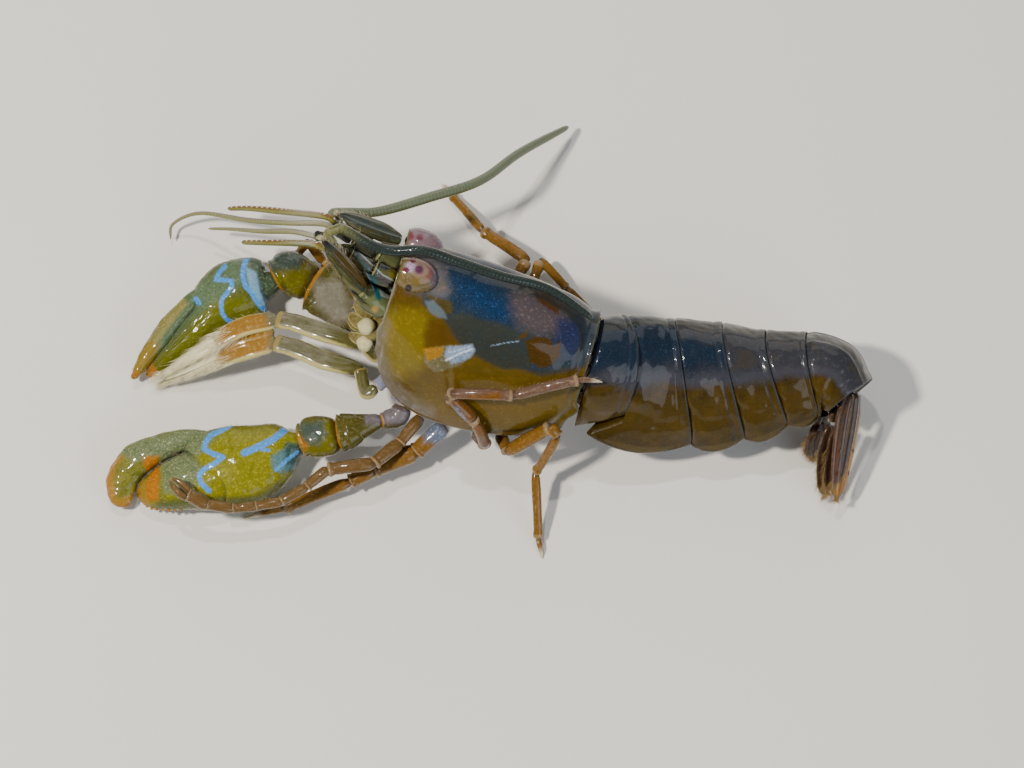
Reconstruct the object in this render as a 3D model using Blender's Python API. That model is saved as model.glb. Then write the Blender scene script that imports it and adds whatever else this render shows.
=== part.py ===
# Alpheus parasocialis, a snapping shrimp, at life size and at rest on a flat floor.
# The animal leans on its right side with its head towards -X, its left flank and back
# turned up, both claws laid flat in front of it and the tail fan bent under at the far end.
# Sizes are in millimetres and become metres when a mesh is made.

import math

import bmesh
import bpy
import numpy as np

MM = 0.001
GAP = 0.3  # clear space between neighbouring plates of the shell
RING_GAP = 0.48  # the same between tail rings, whose faces lean
REST_SPOT = np.array([5.8, 0.67, 0.0])  # the layout's place under the third tail ring
COLLECTION_NAME = "alpheus_parasocialis"

# Carapace: origin at the middle of its rear rim, then the way it points and leans.
CARAPACE_ORIGIN = (-5.3, 1.78, 8.8)
CARAPACE_FORWARD = (-0.960, 0.236, 0.150)
CARAPACE_ROLL = 30.0
# Distance ahead of the rear rim, half width, height of the back, depth of the lower edge.
CARAPACE_STATIONS = (
    (0.0, 4.1, 4.9, -4.4),
    (1.2, 4.5, 5.4, -5.2),
    (3.2, 4.9, 6.0, -6.1),
    (6.0, 5.1, 6.5, -6.8),
    (9.0, 5.2, 6.8, -7.1),
    (12.0, 5.0, 7.0, -7.0),
    (14.0, 4.6, 7.1, -6.5),
    (15.5, 4.2, 7.0, -5.5),
    (16.5, 3.8, 6.8, -4.3),
    (17.3, 3.4, 6.4, -2.4),
)
FLANK_WALL = 0.9  # thickness of the gill cover along its lower edge
GILL_HOLLOW = 2.2  # height of the hollow between the two lower edges
HOLLOW_SHARE = 0.4  # and at most this share of the section's height
EDGE_SHARE = 0.82  # half width at the lower edge, as a share of the full half width
SHOULDER_SHARE = 0.42  # height at which the flanks are widest
BACK_ROUNDNESS = 0.87  # 1 gives a half ellipse, less a fuller one
POCKET_GAP = 0.35  # clear space between an eye and its hood
ROSTRUM_LENGTH = 2.6
ROSTRUM_BASE = (16.9, 0.0, 6.2)
HOOD_PLACE = (15.9, 2.0, 6.2)  # ahead, to the side, above
HOOD_RADII = (2.4, 1.65, 1.6)
EYE_RADIUS = 0.8
EYE_PLACE = (16.8, 2.0, 6.3)

# Walking legs and mouth feet: how far ahead of the rear rim each pair leaves the chest,
# the radius of its boss, and how far the boss leans ahead.
COXA_PLACES = {
    "leg_5": (4.6, 0.75, 0.2),
    "leg_4": (6.6, 0.8, 0.2),
    "leg_3": (9.6, 0.85, 0.2),
    "leg_2": (11.8, 0.75, 0.2),
    "claw": (13.6, 0.95, 0.2),
    "maxilliped": (15.3, 0.62, 2.0),
}
# A boss starts and ends at these shares of the hollow's half width, and ends this far
# below the lower edge of the gill cover.
COXA_REACH = {"left": (0.3, 0.78, 1.5), "right": (-0.22, -0.55, 0.8)}
COXA_STUB = 0.7  # straight start of each limb, in line with its boss

# Tail rings: a centre line, with the size, the lean to the right and the slant of each station.
# X, Y, Z of the centre, half width, half height, roll, backward slant of the lower edge.
TAIL_STATIONS = (
    (-4.95, 1.62, 8.68, 4.0, 4.5, 32.0, 0.5),
    (-2.9, 1.38, 7.75, 4.2, 5.2, 38.0, 1.6),
    (0.0, 1.43, 6.42, 4.3, 5.5, 42.0, 2.0),
    (2.4, 1.44, 5.95, 4.3, 5.4, 42.0, 2.0),
    (6.8, 1.54, 5.82, 4.1, 4.95, 44.0, 2.0),
    (10.8, 1.60, 6.20, 3.7, 4.0, 46.0, 1.6),
    (14.2, 1.80, 6.60, 3.3, 3.45, 50.0, 1.0),
    (16.4, 1.40, 6.90, 3.0, 3.0, 52.0, 0.4),
    (17.9, -0.2, 6.60, 2.4, 2.2, 54.0, 0.0),
)
RING_CUTS = (0.0, 1.0, 3.0, 4.0, 5.0, 6.0, 8.0)  # stations where one ring ends and the next starts

# Colours of the plain solids, sRGB.
NAVY = (0.10, 0.13, 0.20)
OLIVE = (0.42, 0.38, 0.08)
BROWN = (0.50, 0.28, 0.08)
CLAW_GREEN = (0.38, 0.40, 0.14)
GREY = (0.45, 0.47, 0.40)
DARK_EYE = (0.10, 0.04, 0.08)


def unit(vector):
    vector = np.asarray(vector, float)
    return vector / np.linalg.norm(vector)


class BodyFrame:
    # An origin with the forward, left and dorsal directions of a body that leans to its right.
    def __init__(self, origin, forward, roll):
        self.origin = np.asarray(origin, float)
        self.forward = unit(forward)
        level_left = unit(np.cross((0.0, 0.0, 1.0), self.forward))
        upright = np.cross(self.forward, level_left)
        turn = math.radians(roll)
        self.left = level_left * math.cos(turn) + upright * math.sin(turn)
        self.dorsal = upright * math.cos(turn) - level_left * math.sin(turn)

    def at(self, ahead, left, up):
        place = np.multiply.outer(ahead, self.forward) + np.multiply.outer(left, self.left)
        return self.origin + place + np.multiply.outer(up, self.dorsal)


def clear_scene():
    for old in list(bpy.data.objects):
        bpy.data.objects.remove(old, do_unlink=True)


def new_collection(name):
    collection = bpy.data.collections.new(name)
    bpy.context.scene.collection.children.link(collection)
    return collection


def linear(channel):
    return channel / 12.92 if channel <= 0.04045 else ((channel + 0.055) / 1.055) ** 2.4


def wet_shell(name, colour):
    material = bpy.data.materials.new(name)
    material.use_nodes = True
    shader = material.node_tree.nodes["Principled BSDF"]
    shader.inputs["Base Color"].default_value = [linear(channel) for channel in colour] + [1.0]
    shader.inputs["Roughness"].default_value = 0.25
    shader.inputs["Metallic"].default_value = 0.0
    return material


def mesh_object(name, points, faces, collection):
    mesh = bpy.data.meshes.new(name)
    shifted = (np.asarray(points, float) - REST_SPOT) * MM
    mesh.from_pydata(shifted.tolist(), [], faces)
    work = bmesh.new()
    work.from_mesh(mesh)
    bmesh.ops.recalc_face_normals(work, faces=work.faces)
    work.to_mesh(mesh)
    work.free()
    mesh.shade_smooth()
    made = bpy.data.objects.new(name, mesh)
    collection.objects.link(made)
    return made


def loft(name, rings, collection):
    # Skins a row of rings that hold the same number of points, and closes both ends.
    rings = np.asarray(rings)
    count, sides = rings.shape[:2]
    faces = [list(range(sides)), list(range((count - 1) * sides, count * sides))]
    for ring in range(count - 1):
        for side in range(sides):
            after = (side + 1) % sides
            low, high = ring * sides, (ring + 1) * sides
            faces.append([low + side, low + after, high + after, high + side])
    return mesh_object(name, rings.reshape(-1, 3), faces, collection)


def oval(across, thick, half_across, half_thick, sides, power=2.0):
    # A ring of points round the origin: an ellipse at power 2, squarer above it.
    angle = np.arange(sides) * math.tau / sides
    cosine, sine = np.cos(angle), np.sin(angle)
    cosine = np.sign(cosine) * np.abs(cosine) ** (2.0 / power)
    sine = np.sign(sine) * np.abs(sine) ** (2.0 / power)
    return np.multiply.outer(cosine * half_across, across) + np.multiply.outer(sine * half_thick, thick)


def limb_rings(path, halves, flat, sides, power=2.0, start=None):
    # One oval ring at each point of a path. At a bend it lies in the mitre plane and is
    # stretched along the bend, so that both stretches keep their thickness. A ring that
    # would start on the far side from the one before is turned half round.
    path = np.asarray(path, float)
    ways = [unit(step) for step in np.diff(path, axis=0)]
    rings = []
    planes = []
    for index, place in enumerate(path):
        before = ways[max(index - 1, 0)]
        after = ways[min(index, len(ways) - 1)]
        normal = unit(before + after)
        if index == 0 and start is not None:
            normal = unit(start)
        turned = unit(np.cross(flat, normal))
        across = -turned if index and turned @ across < 0 else turned
        thick = np.cross(normal, across)
        half_across, half_thick = halves[index]
        ring = oval(across, thick, half_across, half_thick, sides, power)
        bend = after - before
        if np.linalg.norm(bend) > 1e-3:
            bend = unit(bend)
            stretch = min(1.0 / max(before @ normal, 0.2), 1.5) - 1.0
            ring = ring + np.multiply.outer(ring @ bend, bend) * stretch
        rings.append(place + ring)
        planes.append(normal)
    return np.array(rings), np.array(planes)


def parted(names, rings, planes, cuts, collection):
    # Lofts one run of rings as several nodes, each pair of neighbours parted by GAP at a cut.
    borders = [0, *cuts, len(rings) - 1]
    made = []
    for name, first, last in zip(names, borders, borders[1:]):
        run = rings[first : last + 1].copy()
        if first:
            run[0] += planes[first] * GAP / 2
        if last < len(rings) - 1:
            run[-1] -= planes[last] * GAP / 2
        made.append(loft(name, run, collection))
    return made


def tube(name, path, radii, collection, sides_resolution=1):
    # A feeler: a curve with a round bevel that thins towards its tip, made a mesh.
    curve = bpy.data.curves.new(name, "CURVE")
    curve.dimensions = "3D"
    curve.bevel_depth = MM
    curve.bevel_resolution = sides_resolution
    curve.use_fill_caps = True
    spline = curve.splines.new("POLY")
    path = smooth_path(path, 4)
    radii = np.interp(np.linspace(0, 1, len(path)), np.linspace(0, 1, len(radii)), radii)
    spline.points.add(len(path) - 1)
    for point, place, radius in zip(spline.points, (path - REST_SPOT) * MM, radii):
        point.co = (*place, 1.0)
        point.radius = radius
    drawn = bpy.data.objects.new(name + "_curve", curve)
    collection.objects.link(drawn)
    graph = bpy.context.evaluated_depsgraph_get()
    mesh = bpy.data.meshes.new_from_object(drawn.evaluated_get(graph))
    bpy.data.objects.remove(drawn, do_unlink=True)
    work = bmesh.new()
    work.from_mesh(mesh)
    bmesh.ops.remove_doubles(work, verts=work.verts, dist=1e-6)
    bmesh.ops.recalc_face_normals(work, faces=work.faces)
    work.to_mesh(mesh)
    work.free()
    made = bpy.data.objects.new(name, mesh)
    collection.objects.link(made)
    return made


def smooth_path(points, steps):
    # Points on a curve through the given ones, by a cubic that keeps each point's slope.
    points = np.asarray(points, float)
    slopes = np.gradient(points, axis=0)
    share = np.linspace(0, 1, steps, endpoint=False)[:, None]
    pieces = []
    for index in range(len(points) - 1):
        start, end = points[index], points[index + 1]
        ease = 3 * share**2 - 2 * share**3
        leave = (share**3 - 2 * share**2 + share) * slopes[index]
        arrive = (share**3 - share**2) * slopes[index + 1]
        pieces.append(start * (1 - ease) + end * ease + leave + arrive)
    return np.vstack([*pieces, points[-1:]])


def ball(name, centre, radii, frame, collection, segments=12, rings=8):
    # An ellipsoid along the frame's forward, left and dorsal directions.
    work = bmesh.new()
    bmesh.ops.create_uvsphere(work, u_segments=segments, v_segments=rings, radius=1.0)
    mesh = bpy.data.meshes.new(name)
    work.to_mesh(mesh)
    work.free()
    shape = np.array([vertex.co for vertex in mesh.vertices]) * radii
    axes = np.array([frame.forward, frame.left, frame.dorsal])
    places = (centre + shape @ axes - REST_SPOT) * MM
    for vertex, place in zip(mesh.vertices, places):
        vertex.co = place
    mesh.shade_smooth()
    made = bpy.data.objects.new(name, mesh)
    collection.objects.link(made)
    return made


def largest_body(mesh):
    # Drops every loose piece of the mesh but the one with the most faces.
    work = bmesh.new()
    work.from_mesh(mesh)
    bodies = []
    seen = set()
    for face in work.faces:
        if face in seen:
            continue
        body = {face}
        edge = [face]
        while edge:
            here = edge.pop()
            for beside in {other for side in here.edges for other in side.link_faces}:
                if beside not in body:
                    body.add(beside)
                    edge.append(beside)
        seen |= body
        bodies.append(body)
    kept = max(bodies, key=len)
    spare = [face for face in work.faces if face not in kept]
    if spare:
        bmesh.ops.delete(work, geom=spare, context="FACES")
        loose = [vertex for vertex in work.verts if not vertex.link_faces]
        bmesh.ops.delete(work, geom=loose, context="VERTS")
    work.to_mesh(mesh)
    work.free()


def combine(made, others, operation):
    # Joins the others to the object, or cuts them from it, then removes them.
    group = bpy.data.collections.new("combining")
    bpy.context.scene.collection.children.link(group)
    for other in others:
        for holder in list(other.users_collection):
            holder.objects.unlink(other)
        group.objects.link(other)
    modifier = made.modifiers.new(operation.lower(), "BOOLEAN")
    modifier.operation = operation
    modifier.operand_type = "COLLECTION"
    modifier.collection = group
    modifier.solver = "EXACT"
    bpy.context.view_layer.update()
    graph = bpy.context.evaluated_depsgraph_get()
    mesh = bpy.data.meshes.new_from_object(made.evaluated_get(graph))
    made.modifiers.clear()
    made.data = mesh
    for other in list(group.objects):
        bpy.data.objects.remove(other, do_unlink=True)
    bpy.data.collections.remove(group)
    largest_body(mesh)


def rest_on_floor(made):
    # Cuts off what would reach below the floor and closes the cut with a flat.
    work = bmesh.new()
    work.from_mesh(made.data)
    everything = work.verts[:] + work.edges[:] + work.faces[:]
    down = (0, 0, -1)
    cut = bmesh.ops.bisect_plane(
        work, geom=everything, dist=1e-7, plane_co=(0, 0, 0), plane_no=down, clear_outer=True
    )
    border = [edge for edge in cut["geom_cut"] if isinstance(edge, bmesh.types.BMEdge)]
    if border:
        bmesh.ops.holes_fill(work, edges=border, sides=0)
        bmesh.ops.recalc_face_normals(work, faces=work.faces)
    work.to_mesh(made.data)
    work.free()
    largest_body(made.data)


def shell_section(half_width, top, bottom, wall, hollow, arc_points=13, flank_points=4):
    # A section across the body: round back, flanks drawn in a little towards the lower
    # edges, and a hollow between the edges. Gives (to the left, up) pairs.
    shoulder = bottom + SHOULDER_SHARE * (top - bottom)
    angle = np.linspace(0, math.pi, arc_points)
    cosine, sine = np.cos(angle), np.sin(angle)
    back_half = half_width * np.sign(cosine) * np.abs(cosine) ** BACK_ROUNDNESS
    back = np.stack([back_half, shoulder + (top - shoulder) * sine**BACK_ROUNDNESS], axis=1)
    drop = np.linspace(1, 0, flank_points, endpoint=False)
    flank_half = half_width * (1 - (1 - EDGE_SHARE) * drop**2)
    flank_up = shoulder + (bottom - shoulder) * drop
    left = np.stack([flank_half, flank_up], axis=1)
    right = np.stack([-flank_half, flank_up], axis=1)[::-1]
    inner = EDGE_SHARE * half_width - wall
    roof = bottom + hollow
    narrow = 0.8 * inner
    trough = [[-inner, bottom], [-narrow, roof], [0.0, roof + 0.3], [narrow, roof], [inner, bottom]]
    return np.vstack([left, back, right, trough])


def carapace_size(ahead):
    # Half width, back and lower edge at a distance ahead of the rear rim.
    table = np.array(CARAPACE_STATIONS)
    return [float(np.interp(ahead, table[:, 0], table[:, column])) for column in (1, 2, 3)]


def build_carapace(frame, collection):
    rings = []
    for ahead, half_width, top, bottom in CARAPACE_STATIONS:
        hollow = min(GILL_HOLLOW, HOLLOW_SHARE * (top - bottom))
        section = shell_section(half_width, top, bottom, FLANK_WALL, hollow)
        rings.append(frame.at(np.full(len(section), ahead), section[:, 0], section[:, 1]))
    carapace = loft("carapace", rings, collection)
    ahead, side, up = HOOD_PLACE
    pieces = [build_rostrum(frame, collection)]
    for way in (1, -1):
        pieces.append(ball("hood", frame.at(ahead, side * way, up), HOOD_RADII, frame, collection, 16, 10))
    combine(carapace, pieces, "UNION")
    combine(carapace, [build_eye_pocket(way, frame, collection) for way in (1, -1)], "DIFFERENCE")
    return carapace


def build_eye_pocket(way, frame, collection):
    # A hollow in the hood round the eye, open to the front.
    ahead, side, up = EYE_PLACE
    room = EYE_RADIUS + POCKET_GAP
    path = [frame.at(ahead + step, side * way, up) for step in (-1.2, -0.85, 0.0, 1.8)]
    sizes = [(0.3, 0.3), (room * 0.75, room * 0.75), (room, room), (room * 0.82, room * 0.82)]
    rings, _ = limb_rings(path, sizes, frame.dorsal, 12)
    return loft("eye_pocket", rings, collection)


def build_rostrum(frame, collection):
    # A short spike between the hoods, on a low keel that fades into the back.
    ahead, side, up = ROSTRUM_BASE
    profile = ((-5.0, -0.6), (-2.0, 0.2), (0.0, 0.45), (ROSTRUM_LENGTH, 0.7))
    path = [frame.at(ahead + step, side, up + rise) for step, rise in profile]
    sizes = [(0.25, 0.5), (0.45, 0.75), (0.45, 0.55), (0.08, 0.08)]
    rings, _ = limb_rings(path, sizes, frame.dorsal, 8)
    return loft("rostrum", rings, collection)


def build_eyes(frame, collection):
    ahead, side, up = EYE_PLACE
    radii = (EYE_RADIUS, EYE_RADIUS * 0.95, EYE_RADIUS)
    for name, way in (("eye_left", 1), ("eye_right", -1)):
        ball(name, frame.at(ahead, side * way, up), radii, frame, collection, 12, 8)


def coxa_end(frame, pair, side):
    # The start and the end of a boss of the chest, and the way it points.
    ahead, _, lean = COXA_PLACES[pair]
    half_width, _, bottom = carapace_size(ahead)
    inner = EDGE_SHARE * half_width - FLANK_WALL
    near, far, below = COXA_REACH[side]
    root = frame.at(ahead - lean / 2, near * inner, bottom + 0.9)
    end = frame.at(ahead + lean / 2, far * inner, bottom - below)
    return root, end, unit(end - root)


def limb_start(frame, pair, side):
    # The first two points of a limb, just clear of its boss and in line with it.
    _, end, way = coxa_end(frame, pair, side)
    return way, [end + way * GAP, end + way * (GAP + COXA_STUB)]


def build_chest(frame, collection):
    # The underside between the gill covers, with a boss for each leg.
    rings = []
    for ahead in (2.2, 3.2, 6.0, 9.0, 12.0, 14.0, 15.5, 16.2):
        half_width, top, bottom = carapace_size(ahead)
        inner = EDGE_SHARE * half_width - FLANK_WALL - 1.5 * GAP
        roof = bottom + min(GILL_HOLLOW, HOLLOW_SHARE * (top - bottom)) - 1.3 * GAP
        narrow = 0.72 * inner
        section = np.array([
            [inner, bottom + 0.1],
            [narrow, roof],
            [0, roof + 0.2],
            [-narrow, roof],
            [-inner, bottom + 0.1],
            [-narrow, bottom - 0.3],
            [0, bottom - 0.5],
            [narrow, bottom - 0.3],
        ])
        rings.append(frame.at(np.full(len(section), ahead), section[:, 0], section[:, 1]))
    chest = loft("chest_underside", rings, collection)
    bosses = []
    for pair, (_, radius, _) in COXA_PLACES.items():
        for side in ("left", "right"):
            root, end, _ = coxa_end(frame, pair, side)
            sizes = [(radius * share, radius * share) for share in (0.8, 1.05, 0.9)]
            boss, _ = limb_rings([root, root * 0.4 + end * 0.6, end], sizes, frame.forward, 8)
            bosses.append(loft("boss", boss, collection))
    combine(chest, bosses, "UNION")
    return chest


def tail_frame(place):
    # The body frame and sizes at a place along the tail, counted in stations.
    stations = np.asarray(TAIL_STATIONS)
    count = np.arange(len(stations))

    def row(where):
        where = min(max(where, 0), len(stations) - 1)
        return np.array([np.interp(where, count, stations[:, column]) for column in range(7)])

    forward = unit(row(place - 0.5)[:3] - row(place + 0.5)[:3])
    if place < 1:
        forward = unit(forward * place + unit(CARAPACE_FORWARD) * (1 - place))
    here = row(place)
    return BodyFrame(here[:3], forward, here[5]), here


# The lower edge of ring 1 stops here, as a share of the half height, and drops towards its
# front. The side plates of ring 2 reach forward under it.
FIRST_LOBE = 0.35
FIRST_DROP = 0.52
FIRST_DEPTH = 0.52  # the same share for the paddles of ring 1
SECOND_REACH = 3.4
SECOND_REACH_FROM = 0.74


def build_tail_ring(number, collection):
    first, last = RING_CUTS[number - 1], RING_CUTS[number]
    steps = {1: 2, 6: 8}.get(number, 6)
    rings = []
    for share in np.linspace(0, 1, steps + 1):
        frame, (_, _, _, half_width, half_height, _, slant) = tail_frame(first + (last - first) * share)
        lobe = 0.72 + 0.28 * math.sin(math.pi * (0.12 + 0.76 * share))
        if number == 1:
            lobe = FIRST_LOBE + FIRST_DROP * (1 - share)
        if number == 6:
            lobe = 0.85 - 0.1 * share
        taper = 1 - 0.03 * share
        half_width, half_height = half_width * taper, half_height * taper
        bottom = -half_height * lobe
        section = shell_section(half_width, half_height, bottom, 0.8, -0.45 * bottom, 11, 3)
        up = section[:, 1]
        low = np.clip((half_height - up) / (2 * half_height), 0, 1)
        shift = -slant * low
        if number == 2:
            reach = np.clip((low - SECOND_REACH_FROM) / (1 - SECOND_REACH_FROM), 0, 1)
            shift = shift + SECOND_REACH * reach * (1 - share)
        shift = shift + RING_GAP / 2 * {0: -1, 1: 1}.get(share, 0)
        rings.append(frame.at(shift, section[:, 0], up))
    ring = loft(f"tail_ring_{number}", rings, collection)
    if number < 6:
        combine(ring, build_swimmerets(number, collection), "UNION")
    return ring


def build_swimmerets(number, collection):
    # A pair of flat paddles that hang from the roof of the hollow and lie back.
    middle = (RING_CUTS[number - 1] + RING_CUTS[number]) / 2
    frame, (_, _, _, half_width, half_height, _, _) = tail_frame(middle)
    depth = half_height * (FIRST_DEPTH if number == 1 else 1.0)
    roof = -depth * 0.5
    length = depth * 0.52
    paddles = []
    for way in (1, -1):
        side = way * half_width * 0.26
        path = [
            frame.at(0.2, side, roof + 0.9),
            frame.at(0.0, side, roof - 0.2),
            frame.at(-0.6, side * 1.15, roof - 0.6 * length),
            frame.at(-1.0, side * 1.2, roof - length),
        ]
        sizes = [(0.5, 0.3), (0.55, 0.35), (0.75, 0.32), (0.3, 0.2)]
        rings, _ = limb_rings(path, sizes, frame.left, 6)
        paddles.append(loft("paddle", rings, collection))
    return paddles


# Tail fan: where it leaves the last ring, the way it points, and the way its back faces.
# The right-hand blades are folded in under the others and have a place of their own.
FAN_BASE = (18.0, -0.9, 6.35)
FAN_WAY = (-0.13, -0.88, -0.46)
FAN_FLAT = (0.76, -0.36, 0.52)
RIGHT_FAN_BASE = (15.7, -1.2, 4.7)
RIGHT_FAN_WAY = (-0.09, -0.44, -0.89)
RIGHT_FAN_FLAT = (0.41, -0.80, 0.43)
# Each row of a blade: distance from the base, side and rise of its middle, half width.
TELSON = (
    (0.2, 0, 0, 1.5), (1.2, 0, 0, 1.75), (4.0, 0, 0, 1.6),
    (6.6, 0, 0, 1.25), (7.9, 0, 0, 0.9), (8.4, 0, 0, 0.45),
)
UROPODS = {
    "left": {
        "base": ((0.6, 0.3, -1.2, 0.5), (1.2, 0.2, -1.2, 0.8), (1.9, 0.1, -1.2, 0.75)),
        "inner": (
            (2.3, 0.1, -0.9, 0.5), (3.4, 0.1, -0.9, 1.05), (5.4, 0.1, -0.9, 1.15),
            (7.2, 0.1, -0.9, 0.8), (8.0, 0.1, -0.9, 0.3),
        ),
        "outer": (
            (2.3, 0.0, -1.75, 0.5), (3.4, -0.1, -1.77, 1.1), (5.4, -0.2, -1.77, 1.35),
            (7.4, -0.4, -1.76, 1.1), (8.5, -0.5, -1.7, 0.4),
        ),
    },
    "right": {
        "base": ((0.0, 0, 0, 0.5), (0.6, 0, 0, 0.75), (1.2, 0, 0, 0.7)),
        "inner": (
            (1.6, 0.5, 0.5, 0.45), (2.5, 0.6, 0.5, 0.85), (3.6, 0.6, 0.5, 0.85), (4.8, 0.5, 0.5, 0.3),
        ),
        "outer": (
            (1.6, -0.3, -0.5, 0.5), (2.5, -0.4, -0.5, 1.05), (3.8, -0.4, -0.5, 1.1), (5.6, -0.2, -0.5, 0.5),
        ),
    },
}
BLADE_THICKNESS = {"telson": 0.42, "base": 0.5, "inner": 0.27, "outer": 0.27}


def fan_frame(base, way, flat):
    # Forward here points back to the body, so a blade's length runs to minus ahead.
    frame = BodyFrame(base, [-part for part in way], 0.0)
    frame.dorsal = unit(np.array(flat) - np.dot(flat, frame.forward) * frame.forward)
    frame.left = np.cross(frame.dorsal, frame.forward)
    return frame


def blade(name, frame, outline, thick, collection, sides=10):
    path = [frame.at(-along, side, rise) for along, side, rise, _ in outline]
    shares = np.linspace(1.0, 0.45, len(outline))
    sizes = [(row[3], thick * share) for row, share in zip(outline, shares)]
    rings, _ = limb_rings(path, sizes, frame.dorsal, sides, 2.4)
    return loft(name, rings, collection)


def build_tail_fan(collection):
    frame = fan_frame(FAN_BASE, FAN_WAY, FAN_FLAT)
    blade("telson", frame, TELSON, BLADE_THICKNESS["telson"], collection)
    folded = fan_frame(RIGHT_FAN_BASE, RIGHT_FAN_WAY, RIGHT_FAN_FLAT)
    for side, place in (("left", frame), ("right", folded)):
        for piece, outline in UROPODS[side].items():
            name = f"uropod_{piece}_{side}"
            rest_on_floor(blade(name, place, outline, BLADE_THICKNESS[piece], collection, 8))


# Claws: points of each claw leg's middle line outwards from its start, with half width and
# half thickness, and where each node ends.
CLAW_LEFT = {
    "path": (
        (-22.0, -1.7, 4.4), (-22.7, -1.9, 4.5),
        (-24.2, -2.4, 4.6), (-25.9, -3.0, 4.6), (-26.4, -3.1, 4.5),
        (-27.2, -3.2, 4.2), (-28.5, -3.2, 3.9), (-29.5, -3.4, 3.5),
        (-30.1, -3.6, 3.2), (-31.4, -4.0, 2.7), (-33.2, -4.8, 2.5), (-35.2, -5.5, 2.4), (-37.0, -5.8, 2.4),
        (-37.6, -6.3, 2.3), (-39.6, -6.8, 2.2), (-41.4, -7.2, 1.9), (-43.0, -7.5, 1.5), (-43.8, -7.6, 1.3),
    ),
    "halves": (
        (0.85, 0.8), (0.55, 0.6),
        (1.1, 0.9), (1.75, 1.15), (1.2, 0.9),
        (1.75, 1.45), (1.85, 1.6), (1.3, 1.2),
        (1.6, 1.4), (2.5, 1.9), (3.3, 2.25), (3.75, 2.5), (3.55, 2.45),
        (2.95, 2.2), (2.4, 1.9), (2.0, 1.5), (1.25, 1.0), (0.4, 0.4),
    ),
    "finger": (
        (-37.6, -2.8, 3.0), (-40.0, -3.2, 3.0), (-42.0, -3.8, 2.6), (-44.0, -4.8, 2.1),
        (-45.1, -6.3, 1.7), (-45.1, -7.7, 1.4), (-44.6, -8.6, 1.2),
    ),
    "finger_halves": (
        (0.6, 0.8), (0.95, 1.1), (1.25, 1.1), (1.45, 1.05), (1.4, 0.9), (1.15, 0.7), (0.4, 0.35),
    ),
}
CLAW_RIGHT = {
    "path": (
        (-22.0, 5.7, 2.2), (-23.6, 7.2, 2.5),
        (-25.2, 8.6, 2.9), (-28.2, 10.9, 3.3), (-28.9, 11.3, 3.3),
        (-29.7, 11.8, 3.2), (-31.0, 12.4, 3.2), (-32.1, 12.0, 2.9),
        (-32.8, 11.5, 2.7), (-33.6, 11.4, 2.6), (-34.5, 11.0, 2.5), (-35.7, 10.4, 2.4), (-36.7, 9.6, 2.4),
        (-37.6, 8.3, 2.2), (-39.1, 7.0, 2.0), (-40.6, 5.7, 1.7), (-42.0, 4.5, 1.3), (-43.3, 3.5, 1.0),
    ),
    "halves": (
        (0.95, 0.85), (1.2, 0.9),
        (1.7, 1.0), (2.45, 1.15), (1.6, 0.95),
        (1.8, 1.4), (1.95, 1.6), (1.4, 1.3),
        (1.8, 1.5), (2.6, 1.9), (3.05, 2.3), (3.1, 2.55), (2.85, 2.5),
        (1.9, 2.2), (1.35, 1.7), (1.05, 1.25), (0.7, 0.85), (0.3, 0.3),
    ),
    "finger": (
        (-38.2, 10.8, 2.9), (-39.8, 9.2, 2.8), (-41.4, 7.4, 2.5), (-42.9, 5.4, 2.1),
        (-43.9, 3.9, 1.7), (-44.5, 3.1, 1.4),
    ),
    "finger_halves": ((0.7, 0.8), (0.85, 1.0), (0.9, 0.95), (0.75, 0.8), (0.5, 0.6), (0.25, 0.25)),
}
CLAW_CUTS = (3, 6, 9)
UPRIGHT = (0.0, 0.0, 1.0)


def finger_room(shape, collection):
    # The movable finger made larger by the gap all round.
    path = np.array(shape["finger"])
    path[0] += unit(path[0] - path[1]) * GAP
    path[-1] += unit(path[-1] - path[-2]) * GAP
    halves = np.array(shape["finger_halves"]) + GAP * 1.15
    rings, _ = limb_rings(path, halves, UPRIGHT, 10)
    return loft("finger_room", rings, collection)


def build_claw(side, shape, frame, collection):
    way, start = limb_start(frame, "claw", side)
    path = np.vstack([start, shape["path"]])
    halves = [(0.8, 0.8), (0.9, 0.9), *shape["halves"]]
    rings, planes = limb_rings(path, halves, UPRIGHT, 16, 2.2, way)
    names = [f"claw_{piece}_{side}" for piece in ("base", "merus", "carpus", "palm")]
    palm = parted(names, rings, planes, CLAW_CUTS, collection)[-1]
    combine(palm, [finger_room(shape, collection)], "DIFFERENCE")
    rest_on_floor(palm)
    rings, _ = limb_rings(shape["finger"], shape["finger_halves"], UPRIGHT, 10)
    rest_on_floor(loft(f"claw_finger_{side}", rings, collection))


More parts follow.
